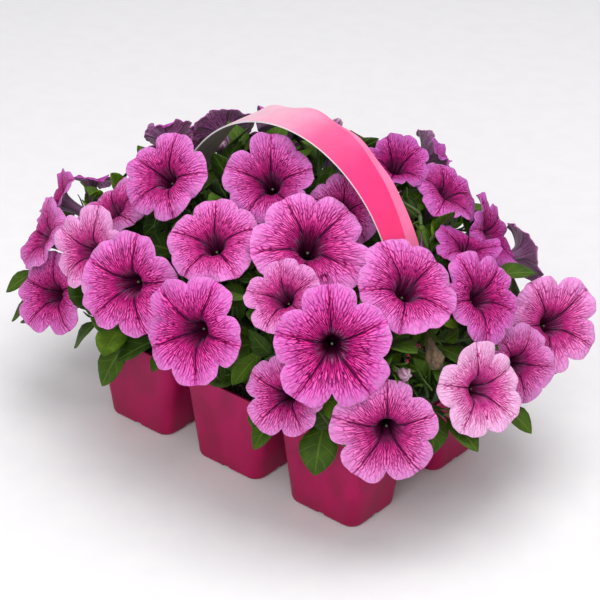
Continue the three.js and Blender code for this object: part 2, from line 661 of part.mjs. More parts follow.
const cellNames = ["front_left", "front_middle", "front_right", "back_left", "back_middle", "back_right"];
const pack = makePack();
const mixes = cellCentres.map(makeMix);
const handle = makeHandle();
const flowers = FLOWERS.map((row, i) => makeFlower(row, i));
const plants = makePlants([pack, ...mixes, handle, ...flowers]);

const planted = new THREE.Group();
planted.add(meshOf("six_cell_pack", pack, packPlastic));
planted.add(meshOf("carry_handle", handle, handleStrip));
cellNames.forEach((name, i) => planted.add(meshOf(`mix_${name}`, mixes[i], pottingMix)));
cellNames.forEach((name, i) => planted.add(meshOf(`plant_${name}`, plants[i], greenery)));
FLOWERS.forEach(([name], i) => planted.add(meshOf(`flower_${name}`, flowers[i], petals)));

// The origin goes under the middle of the whole outline.
const outline = new THREE.Box3().setFromObject(planted);
const centre = outline.getCenter(new THREE.Vector3());
planted.position.set(-centre.x, -centre.y, 0);

const part = new THREE.Group();
part.add(planted);

export default part;
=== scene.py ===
import json
import math
import random
from functools import partial

import bpy
import numpy as np
from mathutils import Matrix, Vector
from mathutils.bvhtree import BVHTree

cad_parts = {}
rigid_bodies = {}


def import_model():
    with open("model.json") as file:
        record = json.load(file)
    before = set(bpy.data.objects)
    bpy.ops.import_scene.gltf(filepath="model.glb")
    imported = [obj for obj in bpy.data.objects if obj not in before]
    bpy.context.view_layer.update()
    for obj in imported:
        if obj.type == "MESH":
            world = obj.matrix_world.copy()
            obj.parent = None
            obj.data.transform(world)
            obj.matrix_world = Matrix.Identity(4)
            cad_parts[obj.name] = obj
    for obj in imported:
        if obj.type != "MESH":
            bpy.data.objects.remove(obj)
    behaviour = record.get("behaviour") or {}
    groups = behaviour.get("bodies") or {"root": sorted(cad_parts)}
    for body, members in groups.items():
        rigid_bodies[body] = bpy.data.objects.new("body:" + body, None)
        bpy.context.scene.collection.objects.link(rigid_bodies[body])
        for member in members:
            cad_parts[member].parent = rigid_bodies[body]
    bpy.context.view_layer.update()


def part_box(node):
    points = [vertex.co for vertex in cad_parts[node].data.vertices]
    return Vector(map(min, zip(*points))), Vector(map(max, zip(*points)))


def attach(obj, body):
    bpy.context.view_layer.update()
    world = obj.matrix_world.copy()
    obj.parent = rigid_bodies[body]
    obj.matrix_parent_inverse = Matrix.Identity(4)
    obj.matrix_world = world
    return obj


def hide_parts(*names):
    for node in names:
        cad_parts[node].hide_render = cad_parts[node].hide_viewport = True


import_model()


# The camera stands off the pack's front right corner and looks down on it by 29 degrees. Its place
# and its directions are measured from the middle of the pack.
MM = 0.001
CAMERA_PLACE = Vector((0.6049, -0.7091, 0.5975))
CAMERA_AHEAD = Vector((-0.5642, 0.6687, -0.4843)).normalized()
CAMERA_RIGHT = Vector((0.7613, 0.6484, 0.0085)).normalized()
LENS_MM = 119.5
SENSOR_MM = 36

pack_low, pack_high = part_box("six_cell_pack")
pack_middle = Vector(((pack_low.x + pack_high.x) / 2, (pack_low.y + pack_high.y) / 2, 0))

camera_data = bpy.data.cameras.new("camera")
camera_data.lens = LENS_MM
camera_data.sensor_width = SENSOR_MM
camera = bpy.data.objects.new("camera", camera_data)
camera_axes = Matrix((CAMERA_RIGHT, CAMERA_RIGHT.cross(CAMERA_AHEAD), -CAMERA_AHEAD)).transposed()
camera.matrix_world = Matrix.Translation(pack_middle + CAMERA_PLACE) @ camera_axes.to_4x4()
bpy.context.scene.collection.objects.link(camera)
bpy.context.scene.camera = camera
bpy.context.scene.view_settings.view_transform = "Standard"


# The floor is one wide sheet of matt white studio paper, under a large soft box overhead and a
# weaker one by the camera. The room round it is pale, so that no shadow is hard.
FLOOR_HALF = 4.0
LIGHT_AIM = Vector((0, 0, 0.08))
ROOM_LIGHT = 0.5
SOFT_BOXES = [
    ("overhead_box", Vector((0.15, 0.05, 1.4)), 1.1, 13.5),
    ("camera_box", Vector((0.7, -1.35, 1.1)), 1.2, 15.5),
]


def linear(hex_colour):
    """An sRGB hex colour in linear light."""
    parts = [int(hex_colour[i : i + 2], 16) / 255 for i in (1, 3, 5)]
    return tuple(c / 12.92 if c <= 0.04045 else ((c + 0.055) / 1.055) ** 2.4 for c in parts) + (1.0,)


def add_node(tree, kind, *in_order, out=None, stops=None, **named):
    """Adds a node and gives one of its outputs, or the first that it shows. Values, hex colours and
    links fill its inputs in the order that it shows them. A name with a capital is an input, with _
    for a blank, and any other is a setting. Stops are those of a colour ramp."""
    families = ("ShaderNode", "GeometryNode", "FunctionNode", "")
    made = tree.nodes.new(next(f + kind for f in families if hasattr(bpy.types, f + kind)))
    for name, value in named.items():
        if name.islower():
            setattr(made, name, value)
    inputs = list(zip((socket for socket in made.inputs if socket.enabled), in_order))
    inputs += [(made.inputs[name.replace("_", " ")], named[name]) for name in named if not name.islower()]
    for socket, value in inputs:
        if isinstance(value, bpy.types.NodeSocket):
            tree.links.new(value, socket)
        else:
            is_colour = isinstance(value, str) and value.startswith("#")
            socket.default_value = linear(value) if is_colour else value
    for i, (position, colour) in enumerate((stops or {}).items()):
        ramp = made.color_ramp.elements
        stop = ramp[i] if i < 2 else ramp.new(position)
        stop.position = position
        stop.color = linear(colour)
    return made.outputs[out] if out else next((s for s in made.outputs if s.enabled), None)


def new_material(name):
    """A new material whose tree is empty, and add_node for that tree."""
    material = bpy.data.materials.new(name)
    material.use_nodes = True
    material.node_tree.nodes.clear()
    return material, partial(add_node, material.node_tree)


def mesh_object(name, points, faces, materials=(), face_materials=None, edges=()):
    """An object at the origin whose place is in its mesh, shaded smooth."""
    mesh = bpy.data.meshes.new(name)
    mesh.from_pydata([tuple(p) for p in points], edges, [tuple(map(int, f)) for f in faces])
    for material in materials:
        mesh.materials.append(material)
    if face_materials is not None:
        mesh.polygons.foreach_set("material_index", np.asarray(face_materials, np.int32))
    mesh.shade_smooth()
    mesh.update()
    made = bpy.data.objects.new(name, mesh)
    bpy.context.scene.collection.objects.link(made)
    return made


# Studio paper scatters light evenly, with a faint mottle of its fibres.
studio_paper, add = new_material("matt_studio_paper")
place = add("TexCoord", out="Object")
paper_tint = add("ValToRGB", add("TexNoise", place, 60.0), stops={0.3: "#ECEAEC", 0.7: "#EFEDEE"})
shader = add("BsdfPrincipled", Base_Color=paper_tint, Roughness=0.9, Specular_IOR_Level=0.2)
add("OutputMaterial", shader)
floor_corners = [(x * FLOOR_HALF, y * FLOOR_HALF, 0) for x, y in ((-1, -1), (1, -1), (1, 1), (-1, 1))]
mesh_object("floor", floor_corners, [(0, 1, 2, 3)], [studio_paper])

for box_name, box_place, box_size, box_watts in SOFT_BOXES:
    lamp = bpy.data.lights.new(box_name, "AREA")
    lamp.shape = "SQUARE"
    lamp.size = box_size
    lamp.energy = box_watts
    holder = bpy.data.objects.new(box_name, lamp)
    aim = (pack_middle + LIGHT_AIM - box_place).to_track_quat("-Z", "Y")
    holder.matrix_world = Matrix.Translation(box_place) @ aim.to_matrix().to_4x4()
    bpy.context.scene.collection.objects.link(holder)

room = bpy.data.worlds.new("pale_room")
room.use_nodes = True
room.node_tree.nodes["Background"].inputs["Color"].default_value = linear("#F3F4F6")
room.node_tree.nodes["Background"].inputs["Strength"].default_value = ROOM_LIGHT
bpy.context.scene.world = room


# The pack is one sheet of polystyrene, drawn hot into a mould: six tapered cells under one deck,
# with rounded corners and feet, drain notches at the feet and two slots for the handle's tabs.
CELL_PITCH = (66 * MM, 69 * MM)
CELL_TOP = (29 * MM, 21.5 * MM, 8 * MM)
CELL_BASE = (22.3 * MM, 18.3 * MM, 7 * MM)
PACK_HEIGHT = 52 * MM
PACK_WALL = 1.2 * MM
DECK_THICKNESS = 1.4 * MM
DRAIN_WIDTH = 5 * MM
DRAIN_HEIGHT = 2.2 * MM
DRAIN_REACH = 2.4 * MM
DRAIN_SINK = 0.5 * MM
FOOT_ROUND = [(0.0, 2.4), (0.35, 1.3), (1.2, 0.4), (2.8, 0.0)]
SLOT_SIZE = (1.9 * MM, 17.6 * MM, 8 * MM)
PACK_EDGE = 0.3 * MM
EASED_ANGLE = math.radians(55)
SHARP_ANGLE = math.radians(40)
CORNER_STEPS = 8

CELL_NAMES = ["front_left", "front_middle", "front_right", "back_left", "back_middle", "back_right"]
cell_centres = [
    Vector((column * CELL_PITCH[0], row * CELL_PITCH[1] / 2, 0)) + pack_middle
    for row in (-1, 1)
    for column in (-1, 0, 1)
]


def rounded_ring(half_x, half_y, corner, z):
    """Points round a rounded rectangle at one height, counter-clockwise."""
    ring = []
    for quarter, (sx, sy) in enumerate(((1, 1), (-1, 1), (-1, -1), (1, -1))):
        for step in range(CORNER_STEPS + 1):
            angle = (quarter + step / CORNER_STEPS) * math.pi / 2
            x = sx * (half_x - corner) + corner * math.cos(angle)
            ring.append((x, sy * (half_y - corner) + corner * math.sin(angle), z))
    return np.array(ring)


def cell_ring(z, inset):
    """A cell's outline at a height, drawn in by inset."""
    share = z / PACK_HEIGHT
    half_x, half_y, corner = (b + (t - b) * share - inset for b, t in zip(CELL_BASE, CELL_TOP))
    return rounded_ring(half_x, half_y, corner, z)


def sleeve_faces(rings, count, is_capped=True):
    """The faces through a stack of rings of count points each, with an end face at both ends."""
    faces = []
    for i in range(rings - 1):
        for k in range(count):
            after = (k + 1) % count
            faces.append((i * count + k, i * count + after, (i + 1) * count + after, (i + 1) * count + k))
    if is_capped:
        faces.append(tuple(reversed(range(count))))
        faces.append(tuple((rings - 1) * count + k for k in range(count)))
    return faces


def stacked_block(name, rings, place):
    """A closed block through a stack of rings, each above the one before."""
    points = np.concatenate(rings) + np.array(place)
    return mesh_object(name, points, sleeve_faces(len(rings), len(rings[0])))


def square_block(name, size, place):
    """A block with square corners."""
    x, y, z = (s / 2 for s in size)
    corners = [(x, y), (-x, y), (-x, -y), (x, -y)]
    return stacked_block(name, [np.array([(*c, level) for c in corners]) for level in (-z, z)], place)


def even_angles(count):
    """Angles at even steps round a circle."""
    return np.arange(count) * 2 * math.pi / count


def circle_ring(radius, angles, z):
    """Points round a circle at one height, or round a curve with a radius for each angle."""
    return np.column_stack([radius * np.cos(angles), radius * np.sin(angles), np.full(len(angles), z)])


def bake(thing):
    """Makes the modifiers of a mesh object part of its mesh."""
    result = bpy.data.meshes.new_from_object(thing.evaluated_get(bpy.context.evaluated_depsgraph_get()))
    thing.modifiers.clear()
    thing.data = result


def combine(base, others, operation):
    """Joins the others to the base, or cuts them from it, and removes them."""
    group = bpy.data.collections.new(operation.lower())
    for other in others:
        group.objects.link(other)
    step = base.modifiers.new(operation.lower(), "BOOLEAN")
    step.operation = operation
    step.operand_type = "COLLECTION"
    step.collection = group
    step.solver = "EXACT"
    bake(base)
    for other in others:
        bpy.data.objects.remove(other)
    bpy.data.collections.remove(group)


deck_half = (CELL_PITCH[0] + CELL_TOP[0], CELL_PITCH[1] / 2 + CELL_TOP[1])
deck_rings = [rounded_ring(*deck_half, CELL_TOP[2], z) for z in (PACK_HEIGHT - DECK_THICKNESS, PACK_HEIGHT)]
cell_pack = stacked_block("cell_pack", deck_rings, pack_middle)
cups = []
hollows = []
for centre in cell_centres:
    outside = [cell_ring(z * MM, inset * MM) for z, inset in FOOT_ROUND] + [cell_ring(PACK_HEIGHT, 0)]
    cups.append(stacked_block("cup", outside, centre))
    inside = [cell_ring(PACK_WALL + z * MM, PACK_WALL + inset * MM) for z, inset in FOOT_ROUND]
    hollows.append(stacked_block("hollow", inside + [cell_ring(PACK_HEIGHT + 2 * MM, PACK_WALL)], centre))
    drain_z = DRAIN_HEIGHT / 2 - DRAIN_SINK
    for x, y in ((0, -1), (-1, 0), (0, 1), (1, 0)):
        size = (2 * DRAIN_REACH if x else DRAIN_WIDTH, 2 * DRAIN_REACH if y else DRAIN_WIDTH,
                DRAIN_HEIGHT + 2 * DRAIN_SINK)
        foot = centre + Vector((x * CELL_BASE[0], y * CELL_BASE[1], drain_z))
        hollows.append(square_block("drain", size, foot))

# The handle's tabs go through slots in the deck, so the line that it is bent to comes here.
HANDLE_FOOT_X = 88 * MM
HANDLE_BULGE = 12 * MM
HANDLE_LEAN = 4 * MM
HANDLE_FOOT_Z = 45 * MM
HANDLE_RISE = 143 * MM
TAB_AT = 0.05


def handle_line(t):
    """The handle's middle line: t runs from 0 at the right foot to pi at the left one."""
    s = math.sin(t)
    c = math.cos(t)
    x = HANDLE_FOOT_X * c + HANDLE_BULGE * c * s * s + HANDLE_LEAN * s
    return Vector((x, 0, HANDLE_FOOT_Z + HANDLE_RISE * s)) + pack_middle


for t in (TAB_AT, math.pi - TAB_AT):
    slot_place = handle_line(t)
    slot_place.z = PACK_HEIGHT
    hollows.append(square_block("handle_slot", SLOT_SIZE, slot_place))
combine(cell_pack, cups, "UNION")
combine(cell_pack, hollows, "DIFFERENCE")
cell_pack.data.set_sharp_from_angle(angle=SHARP_ANGLE)
eased = cell_pack.modifiers.new("eased_edge", "BEVEL")
eased.width = PACK_EDGE
eased.segments = 2
eased.limit_method = "ANGLE"
eased.angle_limit = EASED_ANGLE

# Thermoformed polystyrene is satin, deep crimson and slightly clouded where the sheet was drawn
# thin down the walls; the sheet's own grain leaves a faint unevenness in the shine.
polystyrene, add = new_material("thermoformed_polystyrene")
place = add("TexCoord", out="Object")
clouds = add("TexNoise", add("Mapping", place, Scale=(1.0, 1.0, 0.7)), 95.0, 3.0)
rise = add("MapRange", add("SeparateXYZ", place, out="Z"), 0.0, PACK_HEIGHT)
wall = add("ValToRGB", rise, stops={0.0: "#A4094C", 1.0: "#AC1058"})
cloud_tint = add("ValToRGB", clouds, stops={0.35: "#E2D6DB", 0.65: "#FFFFFF"})
clouded = add("Mix", 1.0, wall, cloud_tint, data_type="RGBA", blend_type="MULTIPLY")
gloss = add("MapRange", clouds, 0.3, 0.7, 0.42, 0.54)
grain = add("Bump", 0.12, 0.2 * MM, Height=add("TexNoise", place, 900.0))
wavy = add("Bump", 0.12, 0.8 * MM, Height=clouds, Normal=grain)
shader = add("BsdfPrincipled", Base_Color=clouded, Normal=wavy, Roughness=gloss, IOR=1.5,
             Specular_IOR_Level=0.22)
add("OutputMaterial", shader)
cell_pack.data.materials.clear()
cell_pack.data.materials.append(polystyrene)
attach(cell_pack, "root")
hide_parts("six_cell_pack")


# Each cell is filled with a plug of peat and bark, pressed in wet and settled a little below the
# rim. Crumbs of it lie loose on top, round the hole that the plant's crown stands in.
MIX_TOP = 46 * MM
MIX_CLEARANCE = 0.3 * MM
MIX_SHOULDER = 1.6 * MM
PLUG_RINGS = [(1.0, -1.2), (0.9, 0.4), (0.72, -0.6), (0.52, 0.5), (0.34, -0.3), (0.2, 0.3)]
CROWN_HOLE = [(3.4, 0.0), (3.3, -8.5)]
CRUMB_SIZE = (0.5 * MM, 1.3 * MM)
CRUMBS_PER_M2 = 160000.0
CRUMB_TURNS = (6.28, 6.28, 6.28)
PLUG_UNEVEN = (-0.5, 0.3)


def tree_of(name, **sockets):
    """A new tree of geometry nodes with its named inputs, add_node for it, and its inputs to read."""
    tree = bpy.data.node_groups.new(name, "GeometryNodeTree")
    for label, kind in {"Geometry": "Geometry", **sockets}.items():
        tree.interface.new_socket(label, in_out="INPUT", socket_type="NodeSocket" + kind)
    tree.interface.new_socket("Geometry", in_out="OUTPUT", socket_type="NodeSocketGeometry")
    add = partial(add_node, tree)
    return tree, add, add("NodeGroupInput").node.outputs


def grow(source, tree, **values):
    """Turns a source object into the plain mesh that a tree of geometry nodes makes from it."""
    step = source.modifiers.new(tree.name, "NODES")
    step.node_group = tree
    for item in tree.interface.items_tree:
        if item.item_type == "SOCKET" and item.in_out == "INPUT" and item.name in values:
            step[item.identifier] = values[item.name]
    bake(source)


crumb_tree, add, given = tree_of("crumbs", Density="Float", Seed="Int", Smallest="Float",
                                 Largest="Float", Lowest="Float", Material="Material")
spot_z = add("SeparateXYZ", add("InputPosition"), out="Z")
on_top = add("Compare", spot_z, given["Lowest"], operation="GREATER_THAN")
scattered = add("DistributePointsOnFaces", given["Geometry"], on_top, given["Density"], given["Seed"])
crumb = add("MeshIcoSphere", 1.0, 1)
tumbled = add("RandomValue", (0, 0, 0), CRUMB_TURNS, Seed=given["Seed"], data_type="FLOAT_VECTOR")
crumb_scale = add("RandomValue", given["Smallest"], given["Largest"], Seed=given["Seed"], data_type="FLOAT")
crumb_copies = add("InstanceOnPoints", scattered, Instance=crumb, Rotation=tumbled, Scale=crumb_scale)
made_crumbs = add("SetMaterial", add("RealizeInstances", crumb_copies), Material=given["Material"])
with_plug = add("JoinGeometry", made_crumbs)
crumb_tree.links.new(given["Geometry"], with_plug.node.inputs[0])
add("NodeGroupOutput", with_plug)

# Damp peat is nearly black-brown and dull, with paler flecks of bark fibre a millimetre long.
peat, add = new_material("damp_peat_and_bark")
place = add("TexCoord", out="Object")
fleck = add("SeparateXYZ", add("TexVoronoi", place, 700.0, out="Color"))
peat_tint = add("ValToRGB", fleck, stops={0.0: "#1D130D", 0.6: "#33231A", 1.0: "#5B4330"})
lumpy = add("Bump", 0.8, 0.6 * MM, Height=add("TexNoise", place, 1100.0, 4.0))
shader = add("BsdfPrincipled", Base_Color=peat_tint, Normal=lumpy, Roughness=0.95)
add("OutputMaterial", shader)

for number, (cell_name, centre) in enumerate(zip(CELL_NAMES, cell_centres)):
    low = PACK_WALL + MIX_CLEARANCE
    sides = [cell_ring(low, low), cell_ring(MIX_TOP - MIX_SHOULDER, low)]
    rim = cell_ring(MIX_TOP, low)
    uneven = random.Random(number)
    tops = []
    for share, lift in PLUG_RINGS:
        ring = rim * (share, share, 1)
        ring[:, 2] += [(lift + uneven.uniform(*PLUG_UNEVEN)) * MM for _ in ring]
        tops.append(ring)
    rim_angles = np.arctan2(rim[:, 1], rim[:, 0])
    tops += [circle_ring(radius * MM, rim_angles, MIX_TOP + drop * MM) for radius, drop in CROWN_HOLE]
    plug = stacked_block(f"plug_{cell_name}", sides + tops, centre)
    plug.data.materials.append(peat)
    grow(plug, crumb_tree, Density=CRUMBS_PER_M2, Seed=number, Smallest=CRUMB_SIZE[0],
         Largest=CRUMB_SIZE[1], Lowest=MIX_TOP - 2 * MM, Material=peat)
    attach(plug, "root")
    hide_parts(f"mix_{cell_name}")


# The handle is one strip die-cut from printed polypropylene sheet and bent into an arch. A barbed
# tab at each end goes through a slot in the deck and locks under it.
STRIP_THICKNESS = 0.8 * MM
STRIP_HALF = {"leg": 12 * MM, "crown": 13 * MM, "neck": 8 * MM, "barb": 10.5 * MM, "tip": 6 * MM}
TAB_LENGTH = 9 * MM
TAB_SHOULDER = 0.45 * MM
TAB_STEP = 0.1 * MM
BEND_AT = 0.11
STRIP_STEPS = 120
SLOPE_STEP = 0.01
STRIP_COLUMNS = 14
STRIP_WIDENS = (0.75, 1)
STRIP_WAVES = (0.7, 0.95)
FACE_WAVE = (21, 0.9 * MM)
EDGE_WAVE = (17, 0.45 * MM)


def smooth_share(value, low, high):
    """How far a value has gone from low to high, eased at both ends."""
    share = np.clip((value - low) / (high - low), 0, 1)
    return share * share * (3 - 2 * share)


def tab_stations(t):
    """The strip's places from the tip of a tab up to the deck, as point, half-width, way out, t."""
    foot = handle_line(t)
    way_out = Vector((math.copysign(1, foot.x - pack_middle.x), 0, 0))
    under = DECK_THICKNESS + TAB_SHOULDER
    heights = [(-TAB_LENGTH, "tip"), (-under - TAB_STEP, "barb"), (-under, "neck"),
               (TAB_SHOULDER, "neck"), (TAB_SHOULDER + TAB_STEP, "leg")]
    return [(Vector((foot.x, foot.y, PACK_HEIGHT + up)), STRIP_HALF[part], way_out, t)
            for up, part in heights]


strip = tab_stations(TAB_AT)
for step in range(STRIP_STEPS + 1):
    t = BEND_AT + (math.pi - 2 * BEND_AT) * step / STRIP_STEPS
    ahead = (handle_line(t + SLOPE_STEP) - handle_line(t - SLOPE_STEP)).normalized()
    widened = smooth_share(math.sin(t), *STRIP_WIDENS)
    half = STRIP_HALF["leg"] + (STRIP_HALF["crown"] - STRIP_HALF["leg"]) * widened
    strip.append((handle_line(t), half, Vector((ahead.z, 0, -ahead.x)), t))
strip += tab_stations(math.pi - TAB_AT)[::-1]

strip_points = []
strip_map = []
for middle, half, way_out, t in strip:
    near_crown = smooth_share(math.sin(t), *STRIP_WAVES)
    for face, columns in ((0.5, range(STRIP_COLUMNS + 1)), (-0.5, range(STRIP_COLUMNS, -1, -1))):
        for column in columns:
            v = 2 * column / STRIP_COLUMNS - 1
            rear = max(0, v) ** 2
            ripple = FACE_WAVE[1] * near_crown * rear * math.sin(FACE_WAVE[0] * t)
            edge = EDGE_WAVE[1] * near_crown * rear * math.sin(EDGE_WAVE[0] * t + 1)
            point = middle + way_out * (face * STRIP_THICKNESS + ripple) + Vector((0, v * half + edge, 0))
            strip_points.append(point)
            strip_map.append((t / math.pi, v))
around = 2 * (STRIP_COLUMNS + 1)
strip_faces = sleeve_faces(len(strip), around)
# The outer face is the first material, the reverse the second and the cut edge the third.
strip_kinds = []
for face in strip_faces:
    k = face[0] % around
    if len(face) > 4 or k == STRIP_COLUMNS or k == around - 1:
        strip_kinds.append(2)
    else:
        strip_kinds.append(0 if k < STRIP_COLUMNS else 1)

# The film's outer face is printed hot pink under a clear satin varnish. A paler band begins at
# the crown and widens towards the rear edge down the right leg, and the crown's middle is paler.
printed_film, add = new_material("printed_polypropylene_film")
place = add("TexCoord", out="Object")
strip_uv = add("UVMap", uv_map="strip_uv")
along = add("SeparateXYZ", strip_uv, out="X")
across = add("SeparateXYZ", strip_uv, out="Y")
ground = add("ValToRGB", along, stops={
    0.0: "#FF2C78", 0.36: "#FF2E7C", 0.44: "#FC5690", 0.5: "#F79ABB", 0.6: "#F6C4D6", 0.7: "#F79CBC",
})
band_low = add("MapRange", along, 0.44, 0.1, 0.9, -0.05)
band = add("MapRange", add("Math", across, band_low, operation="SUBTRACT"), -0.01, 0.02)
right_side = add("MapRange", along, 0.52, 0.47)
band_share = add("Math", band, right_side, operation="MULTIPLY")
printed = add("Mix", band_share, ground, "#FF76A8", data_type="RGBA")
film_noise = add("TexNoise", place, 140.0)
uneven_ink = add("ValToRGB", film_noise, stops={0.3: "#F4EEF0", 0.7: "#FFFFFF"})
inked = add("Mix", 1.0, printed, uneven_ink, data_type="RGBA", blend_type="MULTIPLY")
film_wave = add("Bump", 0.1, 0.5 * MM, Height=film_noise)
shader = add("BsdfPrincipled", Base_Color=inked, Normal=film_wave, Roughness=0.38, Coat_Weight=0.3,
             Coat_Roughness=0.25)
add("OutputMaterial", shader)

# The reverse is the bare grey-mauve back of the ink, seen through the film, and matt. Its colour is
# painted nearly white: painted light for the light that shines through the film onto the shaded side.
film_reverse, add = new_material("unprinted_film_reverse")
place = add("TexCoord", out="Object")
reverse_tint_with_painted_light = add("ValToRGB", add("TexNoise", place, 200.0, 4.0), stops={0.3: "#E6CCD2", 0.7: "#F0DCE0"})
shader = add("BsdfPrincipled", Base_Color=reverse_tint_with_painted_light, Roughness=0.6)
add("OutputMaterial", shader)

# The die-cut edge shows the film's white core.
film_edge, add = new_material("white_film_core")
place = add("TexCoord", out="Object")
edge_tint = add("ValToRGB", add("TexNoise", place, 2500.0), stops={0.3: "#E6DDE0", 0.7: "#F7F3F4"})
shader = add("BsdfPrincipled", Base_Color=edge_tint, Roughness=0.55)
add("OutputMaterial", shader)


def lay_map(thing, name, flat):
    """Lays a flat map on a mesh object, from the place of each of its points on the map."""
    corners = [loop.vertex_index for loop in thing.data.loops]
    layer = thing.data.uv_layers.new(name=name)
    layer.data.foreach_set("uv", np.array(flat, float)[corners].ravel())


carry_strip = mesh_object("carry_strip", strip_points, strip_faces,
                          [printed_film, film_reverse, film_edge], strip_kinds)
lay_map(carry_strip, "strip_uv", strip_map)
carry_strip.data.set_sharp_from_angle(angle=SHARP_ANGLE)
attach(carry_strip, "root")
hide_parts("carry_handle")


# The blooms are petunias, each one thin corolla: five joined lobes on a slim tube, creased along
# each midrib, notched between lobes and ruffled at the rim. Their mouths lie on one mound.
# A row gives the bearing and rise of the mouth on the mound and its distance out, the bearing
# and rise that it faces, the turn of its first lobe, its width in mm, how far it is cupped, from
# 0 to 1, how pale it is and how old and limp it is, both from 0 to 1. Age also darkens a bloom
# towards mauve, which on the blooms at the back and on the crest is partly painted shade.
MOUND = Vector((138, 106, 110)) * MM
MOUND_BASE = 66 * MM
BLOOMS = [
    ("front_left", -103, 28, 1.03, -74, 20, 14, 55, 0, 0.05, 0),
    ("left_end_low", -142, 3, 1.05, -86, 24, 30, 47, 0, 0.1, 0.2),
    ("left_pale", -125, 27, 1.02, -84, 28, 20, 46, 0, 0.45, 0),
    ("left_end_mid", -150, 15, 1.13, -120, 35, 50, 43, 0.1, 0.2, 0.3),
    ("left_shoulder", -145, 35, 0.94, -115, 60, 10, 50, 0, 0.25, 0.3),
    ("left_end_high", -165, 18, 1.15, -135, 33, 0, 40, 0.2, 0.1, 0.5),
    ("left_crest_back", -179, 19, 1.14, 130, 60, 40, 34, 0.1, 0, 1),
    ("upper_left", -126, 56, 1.0, -80, 42, 20, 46, 0, 0.1, 0.25),
    ("upper_left_back", 178, 49, 0.99, 140, 26, 0, 34, 0.45, 0, 1),
    ("crest_back_left", 150, 48, 0.98, 150, 25, 20, 42, 0.1, 0, 1),
    ("centre_left", -88, 49, 0.92, -68, 54, 30, 49, 0, 0.1, 0),
    ("crown", -77, 74, 0.92, -60, 44, 24, 50, 0.1, 0.15, 0.45),
    ("centre_high", -48, 56, 0.87, -44, 46, 40, 59, 0, 0.1, 0),
    ("centre_high_rear", -16, 68, 0.86, -40, 50, 10, 38, 0, 0.2, 0.35),
    ("centre_front", -47, 27, 1.06, -50, 24, 22, 59, 0, 0, 0),
    ("front_middle", -81, 24, 1.02, -76, 20, -2, 54, 0, 0, 0),
    ("front_small", -58, 12, 0.95, -72, 26, 20, 43, 0, 0.15, 0),
    ("front_right_low", -35, 5, 1.02, -50, 17, 20, 54, 0, 0.2, 0),
    ("right_high", -21, 40, 1.02, -26, 54, 26, 54, 0, 0.1, 0.1),
    ("right_pale", -8, 11, 1.02, -20, 26, 16, 47, 0, 0.75, 0),
    ("right_end", 32, 11, 1.11, -24, 36, 30, 52, 0, 0.3, 0),
    ("right_middle", 6, 31, 1.0, -8, 38, 30, 48, 0, 0.05, 0.3),
    ("right_low_rear", 15, 8, 0.99, -20, 25, 50, 42, 0, 0.3, 0.3),
    ("centre_small", -59, 38, 0.99, -78, 48, 46, 41, 0.15, 0.3, 0.1),
    ("crest_right", 51, 62, 0.97, -30, 65, 20, 40, 0.35, 0.1, 0.7),
    ("crest_right_back", 74, 44, 1.08, 60, 40, 10, 36, 0.55, 0.2, 1),
    ("right_shoulder", 49, 47, 1.0, 20, 55, 40, 42, 0, 0.1, 0.6),
    ("right_shoulder_low", 49, 30, 1.01, 25, 30, 0, 44, 0.15, 0.1, 0.8),
    ("right_back_upper", 55, 17, 1.12, 60, 10, 30, 40, 0.2, 0.1, 0.7),
    ("right_edge_on", 24, 40, 0.95, 20, 75, 12, 36, 0, 0.1, 0.8),
    ("crest_back_right", 125, 64, 0.98, 120, 36, 50, 40, 0, 0.1, 0.8),
    ("back_right", 84, 30, 1.02, 84, 30, 16, 50, 0, 0.1, 0),
    ("back_right_low", 62, 2, 1.0, 62, 18, 40, 46, 0, 0.3, 0),
    ("back_middle", 108, 36, 0.98, 104, 38, 60, 52, 0, 0, 0.3),
    ("back_middle_low", 86, 6, 1.0, 92, 20, 8, 50, 0, 0.15, 0),
    ("back_left", 132, 30, 1.0, 124, 34, 30, 52, 0, 0.1, 0.2),
    ("back_left_low", 112, 4, 1.02, 112, 18, 52, 48, 0, 0.5, 0),
    ("left_back_low", 138, 5, 1.02, 146, 20, 22, 48, 0, 0.1, 0),
    ("left_back_mid", 160, 31, 1.04, 160, 26, 34, 42, 0, 0.2, 0.4),
    ("left_end_back", 166, 6, 1.04, 174, 22, 44, 46, 0, 0.1, 0),
]
LOBES = 5
BLOOM_REFERENCE = 29.0
TUBE_LENGTH = 36.0
NOTCH_DEPTH = 0.19
RIB_DENT = 0.03
LOBE_SPREAD = 0.14
ANGLE_STRAY = 0.045
CREASE = 1.15
LOBE_LEAN = 5.0
LOBE_BOW = 1.6
SEAM_STEP = 0.7
SEAM_WIDTH = 0.2
SEAM_GATHER = 0.8
NOTCH_SHARPNESS = 4.4
CREASE_CURVE = (6.4, 5.6)
FUNNEL = (0.34, 1.95)
ROLL_FROM = 0.72
WILT_LEAST = 0.35
WILT_FROM = 0.5
CUP_NARROWS = 0.45
CUP_RISES = 0.8
# In these, the first number is what every bloom has, and the others are what a draw, its age or
# both add to it.
NOTCH_DRAW = (0.55, 0.9)
RIB_DRAW = (-0.7, 2.2)
RIM_ROLL = (0.6, 2.4)
NICK_DEPTH = (0.8, 0.2)
BROAD_HEIGHT = (1.4, 1.8)
LIMPNESS = (0.7, 0.6, 0.5)
LOBE_DRAWS = ("size", "notch", "dent", "lean", "roll", "bow")
FIRST_LOBE_DRAW = 7
STEPS_PER_LOBE = 24
LIMB_SHARES = np.array([0.12, 0.15, 0.19, 0.24, 0.3, 0.36, 0.42, 0.48, 0.54, 0.6, 0.66, 0.72, 0.78,
                        0.83, 0.88, 0.92, 0.955, 0.98, 1.0])
TUBE_RINGS = [(1.6, -35.8), (1.9, -31.0), (2.3, -26.0), (2.8, -22.0)]
PETAL_THICKNESS = 0.45 * MM
VEINS_PER_HALF_LOBE = 8.5
VEIN_CELLS_ALONG = 6.0
VEIN_FAN = 0.2
TUBE_SHARE = 0.09
